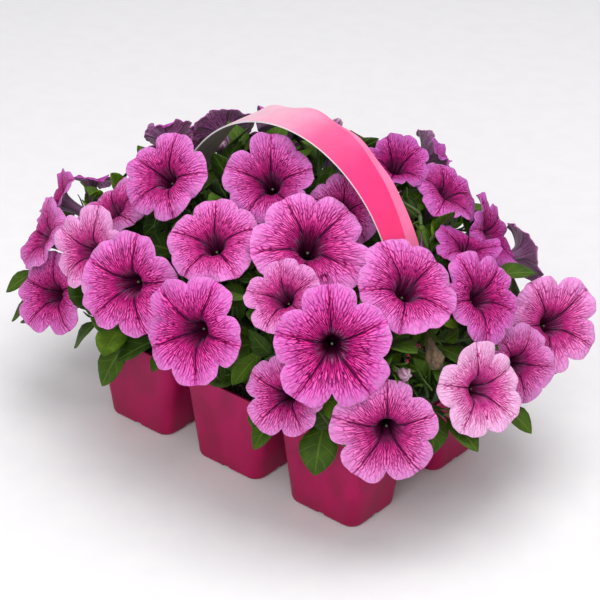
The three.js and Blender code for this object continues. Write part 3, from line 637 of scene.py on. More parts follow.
# Each half lobe takes its own patch of the net, this many meshes on from the one before.
LOBE_PATCH = 20
HALF_LOBE_PATCH = 10
BLOOM_PATCH = (3.7, 3.1)
# The limb's waves, each as how many go round, their height and the number of their phase. Heights
# are in mm, but those of the nicks and turns are shares.
BROAD_WAVES = [(2, 1.0, 0), (3, 0.7, 1)]
RUFFLES = [(9, 0.6, 2), (14, 0.45, 3), (27, 0.22, 4)]
OLD_RUFFLES = [(11, 0.35, 8)]
RIM_NICKS = [(13, 0.01, 4), (23, 0.008, 5)]
TURN_WAVES = [(1, 1.0, 6), (2, 0.7, 7)]
WILT_ROLL = 9.0


def draw(a, b, c):
    """The same number from 0 to 1 for the same three whole numbers, on every run. The last of them
    says what it is drawn for."""
    low_bits = 0xFFFFFFFF
    h = ((a + 1) * 0x9E3779B1 ^ (b + 1) * 0x85EBCA6B ^ (c + 1) * 0xC2B2AE35) & low_bits
    h ^= h >> 15
    h = h * 0x2C1B3C6D & low_bits
    h ^= h >> 12
    h = h * 0x297A2D39 & low_bits
    h ^= h >> 15
    return h / 2**32


def direction(bearing, rise):
    """A direction from its bearing round the pack and its rise above level, in degrees."""
    b = math.radians(bearing)
    r = math.radians(rise)
    return Vector((math.cos(b) * math.cos(r), math.sin(b) * math.cos(r), math.sin(r)))


def on_mound(bearing, rise, out):
    """A point at a bearing, a rise and a share of the mound's size."""
    return direction(bearing, rise) * out * MOUND + Vector((0, 0, MOUND_BASE)) + pack_middle


def bloom_axes(face_bearing, face_rise):
    """A bloom's own right and up and the way it faces, as a matrix of columns."""
    facing = direction(face_bearing, face_rise)
    right = Vector((0, 0, 1)).cross(facing).normalized()
    return Matrix((right, facing.cross(right), facing)).transposed()


def waves(angle, phase, parts):
    """A sum of waves round the limb."""
    return sum(height * np.sin(count * angle + phase[number]) for count, height, number in parts)


def limb_rings(seed, half, cup, age):
    """The limb's points in the bloom's own frame in mm, ring by ring from the throat outwards."""
    share = LIMB_SHARES[:, None]
    lobe = (np.arange(LOBES * STEPS_PER_LOBE) / STEPS_PER_LOBE)[None, :]
    around = lobe * 2 * math.pi / LOBES
    rib = np.floor(lobe + 0.5).astype(int) % LOBES
    seam = np.floor(lobe).astype(int) % LOBES
    side = lobe - np.floor(lobe + 0.5)
    from_rib = 2 * np.abs(side)
    own = {what: np.array([draw(seed, k, kind) for k in range(LOBES)])
           for kind, what in enumerate(LOBE_DRAWS, FIRST_LOBE_DRAW)}
    phase = [2 * math.pi * draw(seed, index, 1) for index in range(1, 10)]
    angle = around + ANGLE_STRAY * waves(around, phase, TURN_WAVES)
    size = 1 + LOBE_SPREAD * (own["size"][rib] - 0.5) * share * (1 - from_rib**5)
    notch_depth = NOTCH_DEPTH * (NOTCH_DRAW[0] + NOTCH_DRAW[1] * own["notch"][seam])
    rib_dent = RIB_DENT * (RIB_DRAW[0] + RIB_DRAW[1] * own["dent"][rib])
    notch = 1 - (notch_depth * from_rib**NOTCH_SHARPNESS + rib_dent * (1 - from_rib) ** 2) * share**2
    limp = LIMPNESS[0] + LIMPNESS[1] * draw(seed, 4, 2) + LIMPNESS[2] * age
    waved = (NICK_DEPTH[0] + NICK_DEPTH[1] * age) * waves(around, phase, RIM_NICKS)
    crease = CREASE * share * (-1 + CREASE_CURVE[0] * from_rib - CREASE_CURVE[1] * from_rib**2)
    lean = LOBE_LEAN * (1 + age) * (own["lean"][rib] - 0.5) * share**2.2 * (1 - from_rib**3)
    bow = LOBE_BOW * (own["bow"][rib] - 0.4) * share**3 * np.sin(math.pi * side * 2)
    near_seam = np.exp(-(((1 - from_rib) / SEAM_WIDTH) ** 2))
    overlap = SEAM_STEP * np.sign(side) * near_seam * from_rib**8 * share**5
    gather = -SEAM_GATHER * share**3 * near_seam
    funnel = FUNNEL[0] * (1 - share ** -FUNNEL[1])
    rolled = (np.maximum(0, share - ROLL_FROM) / (1 - ROLL_FROM)) ** 2
    roll = (RIM_ROLL[0] + RIM_ROLL[1] * own["roll"][rib] * (1 - from_rib**3)) * rolled
    wilted = age * np.maximum(0, own["dent"][rib] - WILT_LEAST) * (1 - from_rib**4)
    wilt = WILT_ROLL * wilted * (np.maximum(0, share - WILT_FROM) / (1 - WILT_FROM)) ** 2
    broad = (BROAD_HEIGHT[0] + BROAD_HEIGHT[1] * age) * waves(angle, phase, BROAD_WAVES) * share**3
    ruffle = limp * (waves(angle, phase, RUFFLES) + age * waves(angle, phase, OLD_RUFFLES)) * share**5
    level = funnel - roll - wilt + crease + lean + bow + overlap + gather + broad + ruffle
    close = cup * share**1.5
    radius = share * half * notch * size * (1 + waved * share**6) * (1 - CUP_NARROWS * close)
    depth = level * half / BLOOM_REFERENCE + CUP_RISES * close * half
    return np.stack([radius * np.cos(angle), radius * np.sin(angle), depth], axis=2)


def bloom_mesh(seed, row):
    """A bloom's front sheet: its points in place, its faces, and its two flat maps by corner."""
    turn, width, cup, _, age = row[6:]
    half = width / 2
    count = LOBES * STEPS_PER_LOBE
    scale = half / BLOOM_REFERENCE
    tube = [circle_ring(r, even_angles(count), z * scale) for r, z in TUBE_RINGS]
    rings = np.concatenate([np.array(tube), limb_rings(seed, half, cup, age)])
    shares = np.concatenate([np.linspace(0.0, TUBE_SHARE, len(tube)), LIMB_SHARES])
    cos_turn = math.cos(math.radians(turn))
    sin_turn = math.sin(math.radians(turn))
    turned = rings @ np.array([[cos_turn, sin_turn, 0], [-sin_turn, cos_turn, 0], [0, 0, 1]])
    axes = np.array(bloom_axes(*row[4:6]))
    points = (turned.reshape(-1, 3) * MM) @ axes.T + np.array(on_mound(*row[1:4]))
    faces = []
    petal_uv = []
    vein_uv = []
    for i in range(len(rings) - 1):
        for k in range(count):
            after = (k + 1) % count
            faces.append((i * count + k, (i + 1) * count + k, (i + 1) * count + after, i * count + after))
            rib = math.floor((k + 0.5) / STEPS_PER_LOBE + 0.5)
            side = 1 if (k + 0.5) / STEPS_PER_LOBE > rib else -1
            for corner, ring in ((k, i), (k, i + 1), (k + 1, i + 1), (k + 1, i)):
                offset = 2 * (corner / STEPS_PER_LOBE - rib)
                share = shares[ring]
                petal_uv.append((offset, share))
                fan = abs(offset) * VEINS_PER_HALF_LOBE / max(share, 0.1) ** VEIN_FAN
                patch = LOBE_PATCH * (rib % LOBES) + HALF_LOBE_PATCH * side + BLOOM_PATCH[0] * seed
                vein_uv.append((patch + fan, BLOOM_PATCH[1] * seed + VEIN_CELLS_ALONG * share))
    faces.append(tuple(range(count)))
    petal_uv += [(0, 0)] * count
    vein_uv += [(0, 0)] * count
    return points, faces, {"petal_uv": petal_uv, "vein_uv": vein_uv}


# A petal's face is a soft, faintly velvety skin of cells over a net of dark veins. The throat is
# nearly black and runs out along the midribs, and the colour goes through hot magenta to a plain
# orchid rim. The net's meshes are two millimetres wide, four long, and fan out from the midribs.
petal_face, add = new_material("petal_face")
place = add("TexCoord", out="Object")
petal_map = add("UVMap", uv_map="petal_uv")
share = add("SeparateXYZ", petal_map, out="Y")
from_rib = add("Math", add("SeparateXYZ", petal_map), operation="ABSOLUTE")
star_arm = add("Math", add("Math", 1.0, from_rib, operation="SUBTRACT"), 8.0, operation="POWER")
star_shift = add("Math", star_arm, -0.31, share, operation="MULTIPLY_ADD")

# The veins stray from their even net, and streaks run along them.
vein_map = add("UVMap", uv_map="vein_uv")
stray = add("TexNoise", vein_map, 0.55, 2.0, out="Color", noise_dimensions="2D")
stray_centred = add("VectorMath", stray, (0.5, 0.5, 0.5), operation="SUBTRACT")
vein_place = add("VectorMath", stray_centred, (1.3, 0.8, 0.0), vein_map, operation="MULTIPLY_ADD")
streak_place = add("VectorMath", vein_place, (1.9, 0.5, 0.0), operation="MULTIPLY")
streaks = add("TexNoise", streak_place, 1.0, 3.0, 0.6, noise_dimensions="2D")
streak_shift = add("MapRange", streaks, 0.25, 0.75, -0.14, 0.14)
star_share = add("Math", star_shift, streak_shift, operation="ADD")
ground = add("ValToRGB", star_share, stops={
    0.0: "#1A0414", 0.1: "#140310", 0.16: "#480432", 0.23: "#A80666", 0.36: "#E01894",
    0.58: "#E02CA4", 0.74: "#DC50B8", 1.0: "#DE80CE",
})

# The net's lines are evened out to one width, and its cells are lighter than the ground towards
# their middles: partly the tissue's own paler colour, partly a painted highlight on their quilted bulges.
net = add("TexVoronoi", vein_place, 1.0, voronoi_dimensions="2D", feature="DISTANCE_TO_EDGE")
mesh_middle = add("TexVoronoi", vein_place, 1.0, out="Position", voronoi_dimensions="2D", feature="F1")
from_middle = add("VectorMath", vein_place, mesh_middle, operation="SUBTRACT")
flat_way = add("VectorMath", from_middle, (1, 1, 0), operation="MULTIPLY")
vein_way = add("VectorMath", flat_way, operation="NORMALIZE")
is_long_vein = add("Math", add("SeparateXYZ", vein_way), operation="ABSOLUTE")
even_net = add("Math", net, add("MapRange", is_long_vein, 0.0, 1.0, 0.16, 1.0), operation="DIVIDE")
net_fade = add("MapRange", star_share, 0.5, 1.02, 1.0, 0.14, interpolation_type="SMOOTHSTEP")
cell_paleness_and_highlight = add("MapRange", even_net, 0.14, 0.42, 0.0, 0.72)
cell_share = add("Math", cell_paleness_and_highlight, net_fade, operation="MULTIPLY")
outer = add("MapRange", star_share, 0.18, 0.4, 0.3, 1.0)
lit_share = add("Math", cell_share, outer, operation="MULTIPLY")
cell_tint_and_highlight = add("ValToRGB", star_share, stops={
    0.22: "#F4208E", 0.4: "#FF48AA", 0.7: "#FF80D0", 1.0: "#FFA2E0",
})
cells_lit = add("Mix", lit_share, ground, cell_tint_and_highlight, data_type="RGBA")
pale = add("Attribute", out="Fac", attribute_name="pale")
pale_share = add("Math", pale, add("MapRange", share, 0.3, 0.8, 0.1, 0.9), operation="MULTIPLY")
bleached = add("Mix", pale_share, cells_lit, "#FFD0F2", data_type="RGBA")

# Long veins, fine hair veins between them and the midribs are drawn over the cells.
in_vein = add("Math", even_net, add("MapRange", star_share, 0.2, 0.85, 0.44, 0.13), operation="DIVIDE")
vein = add("MapRange", in_vein, 0.35, 1.0, 1.0, 0.0)
long_share = add("MapRange", is_long_vein, 0.2, 0.75, 0.3, 1.0)
long_vein = add("Math", vein, long_share, operation="MULTIPLY")
hair_place = add("VectorMath", vein_place, (2.6, 0.42, 0.0), operation="MULTIPLY")
hair_noise = add("TexNoise", hair_place, 1.0, 2.0, 0.5, noise_dimensions="2D")
hair_vein = add("MapRange", hair_noise, 0.52, 0.64, 0.0, 0.75)
any_vein = add("Math", long_vein, hair_vein, operation="MAXIMUM")
vein_share = add("Math", any_vein, net_fade, operation="MULTIPLY")
vein_tint = add("Mix", pale, "#5C0038", "#C01C86", data_type="RGBA")
veined = add("Mix", vein_share, bleached, vein_tint, data_type="RGBA")
rib_reach = add("Math", from_rib, share, operation="MULTIPLY")
rib_far = add("Math", rib_reach, add("MapRange", share, 0.2, 0.9, 0.05, 0.018), operation="DIVIDE")
rib_line = add("MapRange", rib_far, 0.25, 1.0, 1.0, 0.0, interpolation_type="SMOOTHSTEP")
rib_share = add("Math", rib_line, add("MapRange", share, 0.5, 1.0, 0.95, 0.35), operation="MULTIPLY")
ribbed = add("Mix", rib_share, veined, "#440434", data_type="RGBA")

# The throat has lilac streaks, and an old bloom turns mauve and darker. On the old blooms at the
# back and on the crest, which stand in shade, this darkening is partly painted shade.
throat_in = add("MapRange", share, 0.13, 0.17)
throat_out = add("MapRange", share, 0.24, 0.32, 1.0, 0.0)
throat = add("Math", throat_in, throat_out, operation="MULTIPLY")
lilac_share = add("Math", throat, add("MapRange", streaks, 0.56, 0.66, 0.0, 0.5), operation="MULTIPLY")
throated = add("Mix", lilac_share, ribbed, "#C79BCB", data_type="RGBA")
age_and_shade_share = add("Math", add("Attribute", out="Fac", attribute_name="age"), 0.8, operation="MULTIPLY")
aged_mauve_and_shade = add("Mix", age_and_shade_share, throated, "#C48FCF", data_type="RGBA", blend_type="MULTIPLY")
velvet = add("Bump", 0.15, 0.15 * MM, Height=add("TexNoise", place, 1400.0))
quilted = add("Bump", 0.5, 0.4 * MM, Height=add("MapRange", even_net, 0.0, 0.35), Normal=velvet)
furrow = add("Bump", 0.7, 1.0 * MM, Height=streaks, Normal=quilted)
shader = add("BsdfPrincipled", Base_Color=aged_mauve_and_shade, Normal=furrow, Roughness=0.6, Specular_IOR_Level=0.08,
             Subsurface_Weight=0.12, Subsurface_Radius=(1.0, 0.25, 0.6), Subsurface_Scale=0.6 * MM)
add("OutputMaterial", shader)

# A petal's back is duller: purple towards the tube and greyer pink at the rim, with the midribs
# standing out dark.
petal_back, add = new_material("petal_back")
petal_map = add("UVMap", uv_map="petal_uv")
share = add("SeparateXYZ", petal_map, out="Y")
from_rib = add("Math", add("SeparateXYZ", petal_map), operation="ABSOLUTE")
ground = add("ValToRGB", share, stops={
    0.0: "#7C8446", 0.1: "#5E2454", 0.35: "#742A6C", 0.75: "#8C4684", 1.0: "#A8689E",
})
vein_map = add("UVMap", uv_map="vein_uv")
net = add("TexVoronoi", vein_map, 1.0, Randomness=0.8, voronoi_dimensions="2D", feature="DISTANCE_TO_EDGE")
veined = add("Mix", add("MapRange", net, 0.05, 0.22, 0.8, 0.0), ground, "#3E1038", data_type="RGBA")
streak_place = add("VectorMath", vein_map, (1.3, 0.22, 0.0), operation="MULTIPLY")
streaks = add("TexNoise", streak_place, 1.0, 2.0, noise_dimensions="2D")
streak = add("MapRange", streaks, 0.52, 0.7, 0.0, 0.6)
age = add("Attribute", out="Fac", attribute_name="age")
streaked = add("Mix", add("Math", streak, age, operation="MULTIPLY"), veined, "#C79ABF", data_type="RGBA")
rib_reach = add("Math", from_rib, share, operation="MULTIPLY")
rib_line = add("MapRange", rib_reach, 0.02, 0.07, 0.85, 0.0)
ribbed = add("Mix", rib_line, streaked, "#3F1038", data_type="RGBA")
pale_share = add("Math", add("Attribute", out="Fac", attribute_name="pale"), 0.5, operation="MULTIPLY")
bleached = add("Mix", pale_share, ribbed, "#E9BEDD", data_type="RGBA")
raised = add("Bump", 0.4, 0.5 * MM, Height=rib_line)
shader = add("BsdfPrincipled", Base_Color=bleached, Normal=raised, Roughness=0.6, Sheen_Weight=0.3)
add("OutputMaterial", shader)


def set_points(thing, label, kind, values):
    """Gives each point of a mesh object its own value."""
    field = "vector" if kind == "FLOAT_VECTOR" else "value"
    thing.data.attributes.new(label, kind, "POINT").data.foreach_set(field, np.array(values).ravel())


def thicken(thing, thickness, material_offset=0):
    """Gives a sheet its thickness, away from the side that its faces look to."""
    body = thing.modifiers.new("thickness", "SOLIDIFY")
    body.thickness = thickness
    body.offset = -1
    body.material_offset = material_offset


bloom_points = []
bloom_faces = []
for seed, row in enumerate(BLOOMS):
    points, faces, flat_maps = bloom_mesh(seed, row)
    bloom = mesh_object(f"bloom_{row[0]}", points, faces, [petal_face, petal_back])
    for label, flat in flat_maps.items():
        bloom.data.uv_layers.new(name=label).data.foreach_set("uv", np.array(flat).ravel())
    set_points(bloom, "pale", "FLOAT", np.full(len(points), row[-2], float))
    set_points(bloom, "age", "FLOAT", np.full(len(points), row[-1], float))
    thicken(bloom, PETAL_THICKNESS, material_offset=1)
    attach(bloom, "root")
    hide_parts(f"flower_{row[0]}")
    start = len(bloom_points)
    bloom_points += [tuple(p) for p in points]
    bloom_faces += [tuple(start + i for i in face) for face in faces[:-1]]


# A pistil stands in each throat: a slim style with a flat, sticky, pale green stigma on top.
PISTIL_PROFILE = [(0.5, -26.0), (0.4, -15.0), (0.6, -14.2), (0.8, -13.6), (0.7, -13.2), (0.3, -13.0)]
PISTIL_SIDES = 8

copies_tree, add, given = tree_of("placed_copies", Forms="Collection", Material="Material")
forms = add("CollectionInfo", given["Forms"], True, True)
own_form = add("InputNamedAttribute", "form", data_type="INT")
own_turn = add("EulerToRotation", add("InputNamedAttribute", "turn", data_type="FLOAT_VECTOR"))
own_size = add("InputNamedAttribute", "size", data_type="FLOAT_VECTOR")
copies = add("InstanceOnPoints", given["Geometry"], Instance=forms, Pick_Instance=True,
             Instance_Index=own_form, Rotation=own_turn, Scale=own_size)
made_copies = add("SetMaterial", add("RealizeInstances", copies), Material=given["Material"])
add("NodeGroupOutput", made_copies)


def collection_of(name, objects):
    """A collection that holds the forms to copy, out of the scene."""
    group = bpy.data.collections.new(name)
    for item in objects:
        bpy.context.scene.collection.objects.unlink(item)
        group.objects.link(item)
    return group


def placed_copies(name, rows, forms, material):
    """One piece of copied forms. A row is a place, its axes as a matrix, a size, a form and a tone."""
    source = mesh_object(name, [row[0] for row in rows], [])
    set_points(source, "turn", "FLOAT_VECTOR", [tuple(row[1].to_euler()) for row in rows])
    set_points(source, "size", "FLOAT_VECTOR", [tuple(row[2]) for row in rows])
    set_points(source, "form", "INT", [row[3] for row in rows])
    set_points(source, "tone", "FLOAT", [row[4] for row in rows])
    grow(source, copies_tree, Forms=forms, Material=material)
    source.data.shade_smooth()
    return source


# Stigma tissue is wet and pale, with a little green. Here its colour is painted dark grey-green:
# painted shade, deep in the throat.
stigma_tissue, add = new_material("stigma_tissue")
place = add("TexCoord", out="Object")
stigma_tint_with_painted_shade = add("ValToRGB", add("TexNoise", place, 2000.0), stops={0.3: "#454F38", 0.7: "#6C765C"})
shader = add("BsdfPrincipled", Base_Color=stigma_tint_with_painted_shade, Roughness=0.3)
add("OutputMaterial", shader)

pistil_rings = [circle_ring(r, even_angles(PISTIL_SIDES), z) for r, z in PISTIL_PROFILE]
pistil_forms = collection_of("pistil_forms", [stacked_block("pistil_form", pistil_rings, Vector())])
pistil_rows = []
for row in BLOOMS:
    scale = row[7] / 2 / BLOOM_REFERENCE * MM
    pistil_rows.append((on_mound(*row[1:4]), bloom_axes(*row[4:6]), (scale, scale, scale), 0, 0))
pistils = placed_copies("pistils", pistil_rows, pistil_forms, stigma_tissue)
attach(pistils, "root")


# Five narrow hairy sepals, joined at their foot into a small cup, hold each bloom's tube.
CALYX_CUP = [(1.3, -3.0), (2.2, -2.4), (2.7, -0.8), (2.75, 0.4)]
CALYX_DEPTH = 2.7
SEPAL_ROWS = [(0.0, 2.8, 1.25), (3.0, 3.6, 1.5), (6.5, 4.6, 1.6), (10.0, 6.0, 1.1), (12.5, 7.4, 0.12)]
SEPAL_HOLLOW = 0.25
SEPAL_THICKNESS = 0.4 * MM
SEAT_GAP = 0.35
CALYX_TONES = (0.35, 0.3)

# Petunia leaves and sepals are soft green, matt and sticky with fine hairs that catch the light
# as a pale bloom; side veins curve from a paler midrib, about three millimetres apart.
hairy_leaf, add = new_material("hairy_petunia_leaf")
place = add("TexCoord", out="Object")
leaf_map = add("UVMap", uv_map="leaf_uv")
along_leaf = add("SeparateXYZ", leaf_map, out="Y")
from_midrib = add("Math", add("SeparateXYZ", leaf_map), operation="ABSOLUTE")
tone = add("Attribute", out="Fac", attribute_name="tone")
mottled = add("Math", add("TexNoise", place, 130.0, 4.0), 0.5, tone, operation="MULTIPLY_ADD")
leaf_green = add("ValToRGB", mottled, stops={0.1: "#162604", 0.45: "#304A07", 0.8: "#50700C", 1.0: "#82A01E"})
arched = add("Math", from_midrib, -0.22, along_leaf, operation="MULTIPLY_ADD")
vein_wave = add("Math", add("Math", arched, 9.0, operation="MULTIPLY"), 1.0, operation="PINGPONG")
side_vein = add("MapRange", vein_wave, 0.0, 0.22, 0.5, 0.0)
midrib = add("MapRange", from_midrib, 0.03, 0.11, 0.9, 0.0)
all_veins = add("Math", side_vein, midrib, operation="MAXIMUM")
vein_share = add("Math", all_veins, 0.4, operation="MULTIPLY")
veined_leaf = add("Mix", vein_share, leaf_green, "#769236", data_type="RGBA")
hairy = add("Bump", 0.3, 0.25 * MM, Height=add("TexNoise", place, 1600.0))
sunk_veins = add("Bump", 0.6, 0.6 * MM, Height=all_veins, Normal=hairy, invert=True)
shader = add("BsdfPrincipled", Base_Color=veined_leaf, Normal=sunk_veins, Roughness=0.58,
             Specular_IOR_Level=0.2, Sheen_Weight=0.03, Sheen_Roughness=0.4)
add("OutputMaterial", shader)

cup_steps = 2 * LOBES
calyx_points = [tuple(p) for r, z in CALYX_CUP for p in circle_ring(r, even_angles(cup_steps), z)]
calyx_flat = [(0.5, 0.1)] * len(calyx_points)
calyx_faces = sleeve_faces(len(CALYX_CUP), cup_steps, is_capped=False)
calyx_faces.append(tuple(reversed(range(cup_steps))))
for angle in even_angles(LOBES):
    out = Vector((math.cos(angle), math.sin(angle), 0))
    side = Vector((-out.y, out.x, 0))
    start = len(calyx_points)
    for number, (up, r, half) in enumerate(SEPAL_ROWS):
        for across in (-1, 0, 1):
            hollow = SEPAL_HOLLOW * half * (abs(across) - 1)
            calyx_points.append(tuple(out * (r + hollow) + side * across * half + Vector((0, 0, up))))
            calyx_flat.append((across, number / len(SEPAL_ROWS)))
    for corner in (start + 3 * i + j for i in range(len(SEPAL_ROWS) - 1) for j in range(2)):
        calyx_faces.append((corner, corner + 1, corner + 4, corner + 3))
calyx_form = mesh_object("calyx_form", np.array(calyx_points) * MM, calyx_faces)
lay_map(calyx_form, "leaf_uv", calyx_flat)
calyx_forms = collection_of("calyx_forms", [calyx_form])


def nearest_cell(point):
    """The number of the cell whose middle is nearest."""
    return min(range(len(cell_centres)), key=lambda i: (point.xy - cell_centres[i].xy).length)


bloom_feet = []
for row in BLOOMS:
    facing = direction(row[4], row[5])
    foot = on_mound(*row[1:4]) - facing * (TUBE_LENGTH * row[7] / 2 / BLOOM_REFERENCE + SEAT_GAP) * MM
    bloom_feet.append((foot, facing, nearest_cell(foot - facing * CALYX_DEPTH * MM)))
for cell, cell_name in enumerate(CELL_NAMES):
    calyx_rows = []
    for number, (foot, facing, its_cell) in enumerate(bloom_feet):
        if its_cell == cell:
            tone = CALYX_TONES[0] + CALYX_TONES[1] * draw(number, 3, 50)
            calyx_rows.append((foot, bloom_axes(*BLOOMS[number][4:6]), (1, 1, 1), 0, tone))
    calyxes = placed_copies(f"calyxes_{cell_name}", calyx_rows, calyx_forms, hairy_leaf)
    thicken(calyxes, SEPAL_THICKNESS)
    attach(calyxes, "root")
    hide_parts(f"plant_{cell_name}")


# The stems are soft, hairy green rods. Three rise from each crown, and the others branch from
# them; each bends on its way to a calyx or to a leafy tip so that it meets nothing.
# A shoot's row gives where its tip is on the mound, then its last leaf's bearing, rise, length
# and width in mm.
SHOOTS = [
    (-131, -7, 0.73, -100, -45, 28, 20),
    (-141, -4, 0.84, -130, -45, 22, 14),
    (-116, -4, 0.62, -90, -35, 13, 8),
    (-69, -8, 0.62, -62, -50, 13, 8),
    (-46, -2, 0.74, -64, -46, 29, 20),
    (-60, -4, 0.68, -95, -35, 24, 14),
    (-24, 18, 0.86, -30, 10, 28, 22),
    (-30, 26, 0.88, -10, 20, 26, 14),
    (-30, 14, 0.88, -50, -10, 26, 16),
    (-22, 8, 0.9, -40, -20, 26, 16),
    (-14, 2, 0.9, -10, -15, 26, 14),
    (10, -3, 0.92, 0, -20, 24, 14),
    (24, 2, 0.98, 20, 5, 22, 12),
    (-152, 4, 1.12, -120, -25, 24, 11),
    (-148, -5, 0.98, -145, -15, 30, 16),
    (36, 24, 0.86, 30, 20, 30, 18),
    (-128, 58, 0.8, -100, 80, 28, 10),
    (-112, 68, 0.78, -60, 84, 26, 9),
    (-72, 38, 0.74, -70, 30, 28, 18),
    (-62, 20, 0.78, -55, 10, 30, 18),
    (4, 50, 0.76, -20, 60, 26, 14),
    (140, 20, 0.86, 140, 20, 28, 16),
    (100, 14, 0.86, 95, 10, 28, 16),
    (70, 14, 0.88, 60, 0, 28, 16),
    (176, 34, 0.84, 176, 40, 28, 14),
    (-20, 24, 0.84, -4, -46, 30, 21),
    (-16, 20, 0.88, 12, -40, 28, 18),
    (-26, 16, 0.93, -20, -60, 27, 17),
    (-10, 22, 0.84, 20, -20, 26, 16),
    (-24, 26, 0.84, -62, 4, 24, 13),
    (28, 46, 0.84, 60, 40, 24, 13),
    (150, 58, 0.8, 170, 50, 24, 12),
    (165, 36, 0.9, -170, 30, 24, 13),
    (-174, 16, 1.04, -120, 70, 17, 10),
    (176, 12, 1.0, 170, 60, 26, 15),
    (-168, 10, 1.08, -150, 60, 24, 13),
    (78, 18, 0.98, 60, 40, 26, 15),
    (70, 24, 0.92, 50, 30, 26, 14),
    (-150, -2, 1.1, -125, -35, 24, 11),
    (-30, 24, 0.9, -50, 10, 22, 13),
    (158, 34, 0.72, 150, 60, 28, 17),
    (170, 26, 0.78, 170, 50, 28, 17),
    (-176, 36, 0.74, -170, 60, 28, 17),
    (148, 26, 0.76, 140, 40, 28, 16),
    (163, 18, 0.88, 160, 30, 26, 15),
    (-172, 20, 1.0, -150, 40, 13, 8),
    (-22, 12, 0.86, -34, -44, 28, 20),
    (-18, 6, 0.88, -40, -50, 26, 18),
]
# The shoots from this one on take the room that the stems before them leave.
FIRST_LATE_SHOOT = 25
# Furled buds and spent blooms, on stalks of their own: the place of the calyx on the mound, the
# bearing and rise that it points, the length and width in mm, and how dry it is, from 0 to 1.
BUDS = [
    (-31, 21, 0.96, -20, 10, 13, 6, 0.4),
    (-12, 29, 0.86, -34, -36, 22, 9, 1.0),
    (158, 50, 0.8, -60, 66, 16, 6, 0.3),
    (22, 52, 0.87, -40, -62, 26, 12, 0.25),
    (-140, 50, 0.86, -100, 50, 17, 6, 0.1),
    (104, 58, 0.86, 90, 60, 18, 6, 0.1),
    (130, 44, 0.9, 140, 50, 15, 5, 0.2),
]
STEM_RADIUS = 1.6 * MM
SIDE_STEM_RADIUS = 1.2 * MM
STEM_STEP = 20 * MM
STEM_SIDES = 8
MAIN_STEMS = 3
BRANCH_LEAST = 24 * MM
STEM_TRIES = 80
STEM_REACH = 0.3
ROOT_PULL = 0.6
STEM_LEAN = 0.5
MAIN_SPREAD = 0.5
TIP_REACH = (0.8, 0.7)
STEM_TAPER = (1.08, 0.33)
CROWN_TOP = 54 * MM
CROWN_LEVELS = (39, 46, 50, 52.5, 54)
CROWN_SINK = 3 * MM
CROWN_CLEAR = 8 * MM
CROWN_RADIUS = 2.8 * MM
CURVE_STEPS = 24
TEST_ANGLES = (0, 2.1, 4.2)
ODD_WAY = (0.31, 0.23, 0.92)
CALYX_START = 0.4
BLOOM_CALYX_REACH = 8
CALYX_RADIUS = 3.4 * MM
UP = Vector((0, 0, 1))


def bezier(points):
    """Points along a cubic Bezier curve, evenly spaced along it."""
    t = np.linspace(0, 1, 4 * CURVE_STEPS)[:, None]
    a, b, c, d = (np.array(p) for p in points)
    line = (1 - t) ** 3 * a + 3 * (1 - t) ** 2 * t * b + 3 * (1 - t) * t * t * c + t**3 * d
    lengths = np.concatenate([[0], np.cumsum(np.linalg.norm(np.diff(line, axis=0), axis=1))])
    even = np.linspace(0, lengths[-1], CURVE_STEPS + 1)
    return np.column_stack([np.interp(even, lengths, line[:, i]) for i in range(3)]), lengths[-1]


def tube_tree(line, radius):
    """A quick solid of a stem along a line, to test what it meets."""
    ahead = np.gradient(line, axis=0)
    ahead /= np.linalg.norm(ahead, axis=1)[:, None]
    aside = np.cross(ahead, ODD_WAY)
    aside /= np.linalg.norm(aside, axis=1)[:, None]
    upward = np.cross(ahead, aside)
    ways = [math.cos(a) * aside + math.sin(a) * upward for a in TEST_ANGLES]
    points = np.concatenate([line + radius * way for way in ways])
    n = len(line)
    faces = []
    for side in range(3):
        a, b = side * n, (side + 1) % 3 * n
        faces += [(a + i, b + i, b + i + 1, a + i + 1) for i in range(n - 1)]
    return BVHTree.FromPolygons(points.tolist(), faces), points


def mesh_tree(thing):
    """What a mesh object fills, to test what meets it, and its points."""
    points = [tuple(v.co) for v in thing.data.vertices]
    return BVHTree.FromPolygons(points, [tuple(p.vertices) for p in thing.data.polygons]), points


filled = []


def fill_room(tree, points, cell=None):
    """Notes what fills some of the space over the pack, with its box and its cell."""
    filled.append((np.min(points, axis=0), np.max(points, axis=0), tree, cell))


def is_blocked(tree, points, joined=(), cell=None, upper=None):
    """Whether a form meets more than what it grows from. Its own plant stops its upper part alone."""
    low, high = np.min(points, axis=0), np.max(points, axis=0)
    for its_low, its_high, its_tree, its_cell in filled:
        if (low > its_high).any() or (high < its_low).any() or any(its_tree is j for j in joined):
            continue
        tested = upper if cell is not None and its_cell == cell else tree
        if tested is not None and tested.overlap(its_tree):
            return True
    return False


fill_room(BVHTree.FromPolygons(bloom_points, bloom_faces), bloom_points)
fill_room(*mesh_tree(carry_strip))
fill_room(*mesh_tree(cell_pack))

tips = []


def add_tip(end, facing, **more):
    """Notes the end of a stem to come, the way it points and what it carries."""
    tips.append({"seed": len(tips), "end": end, "facing": facing, "cell": nearest_cell(end), **more})


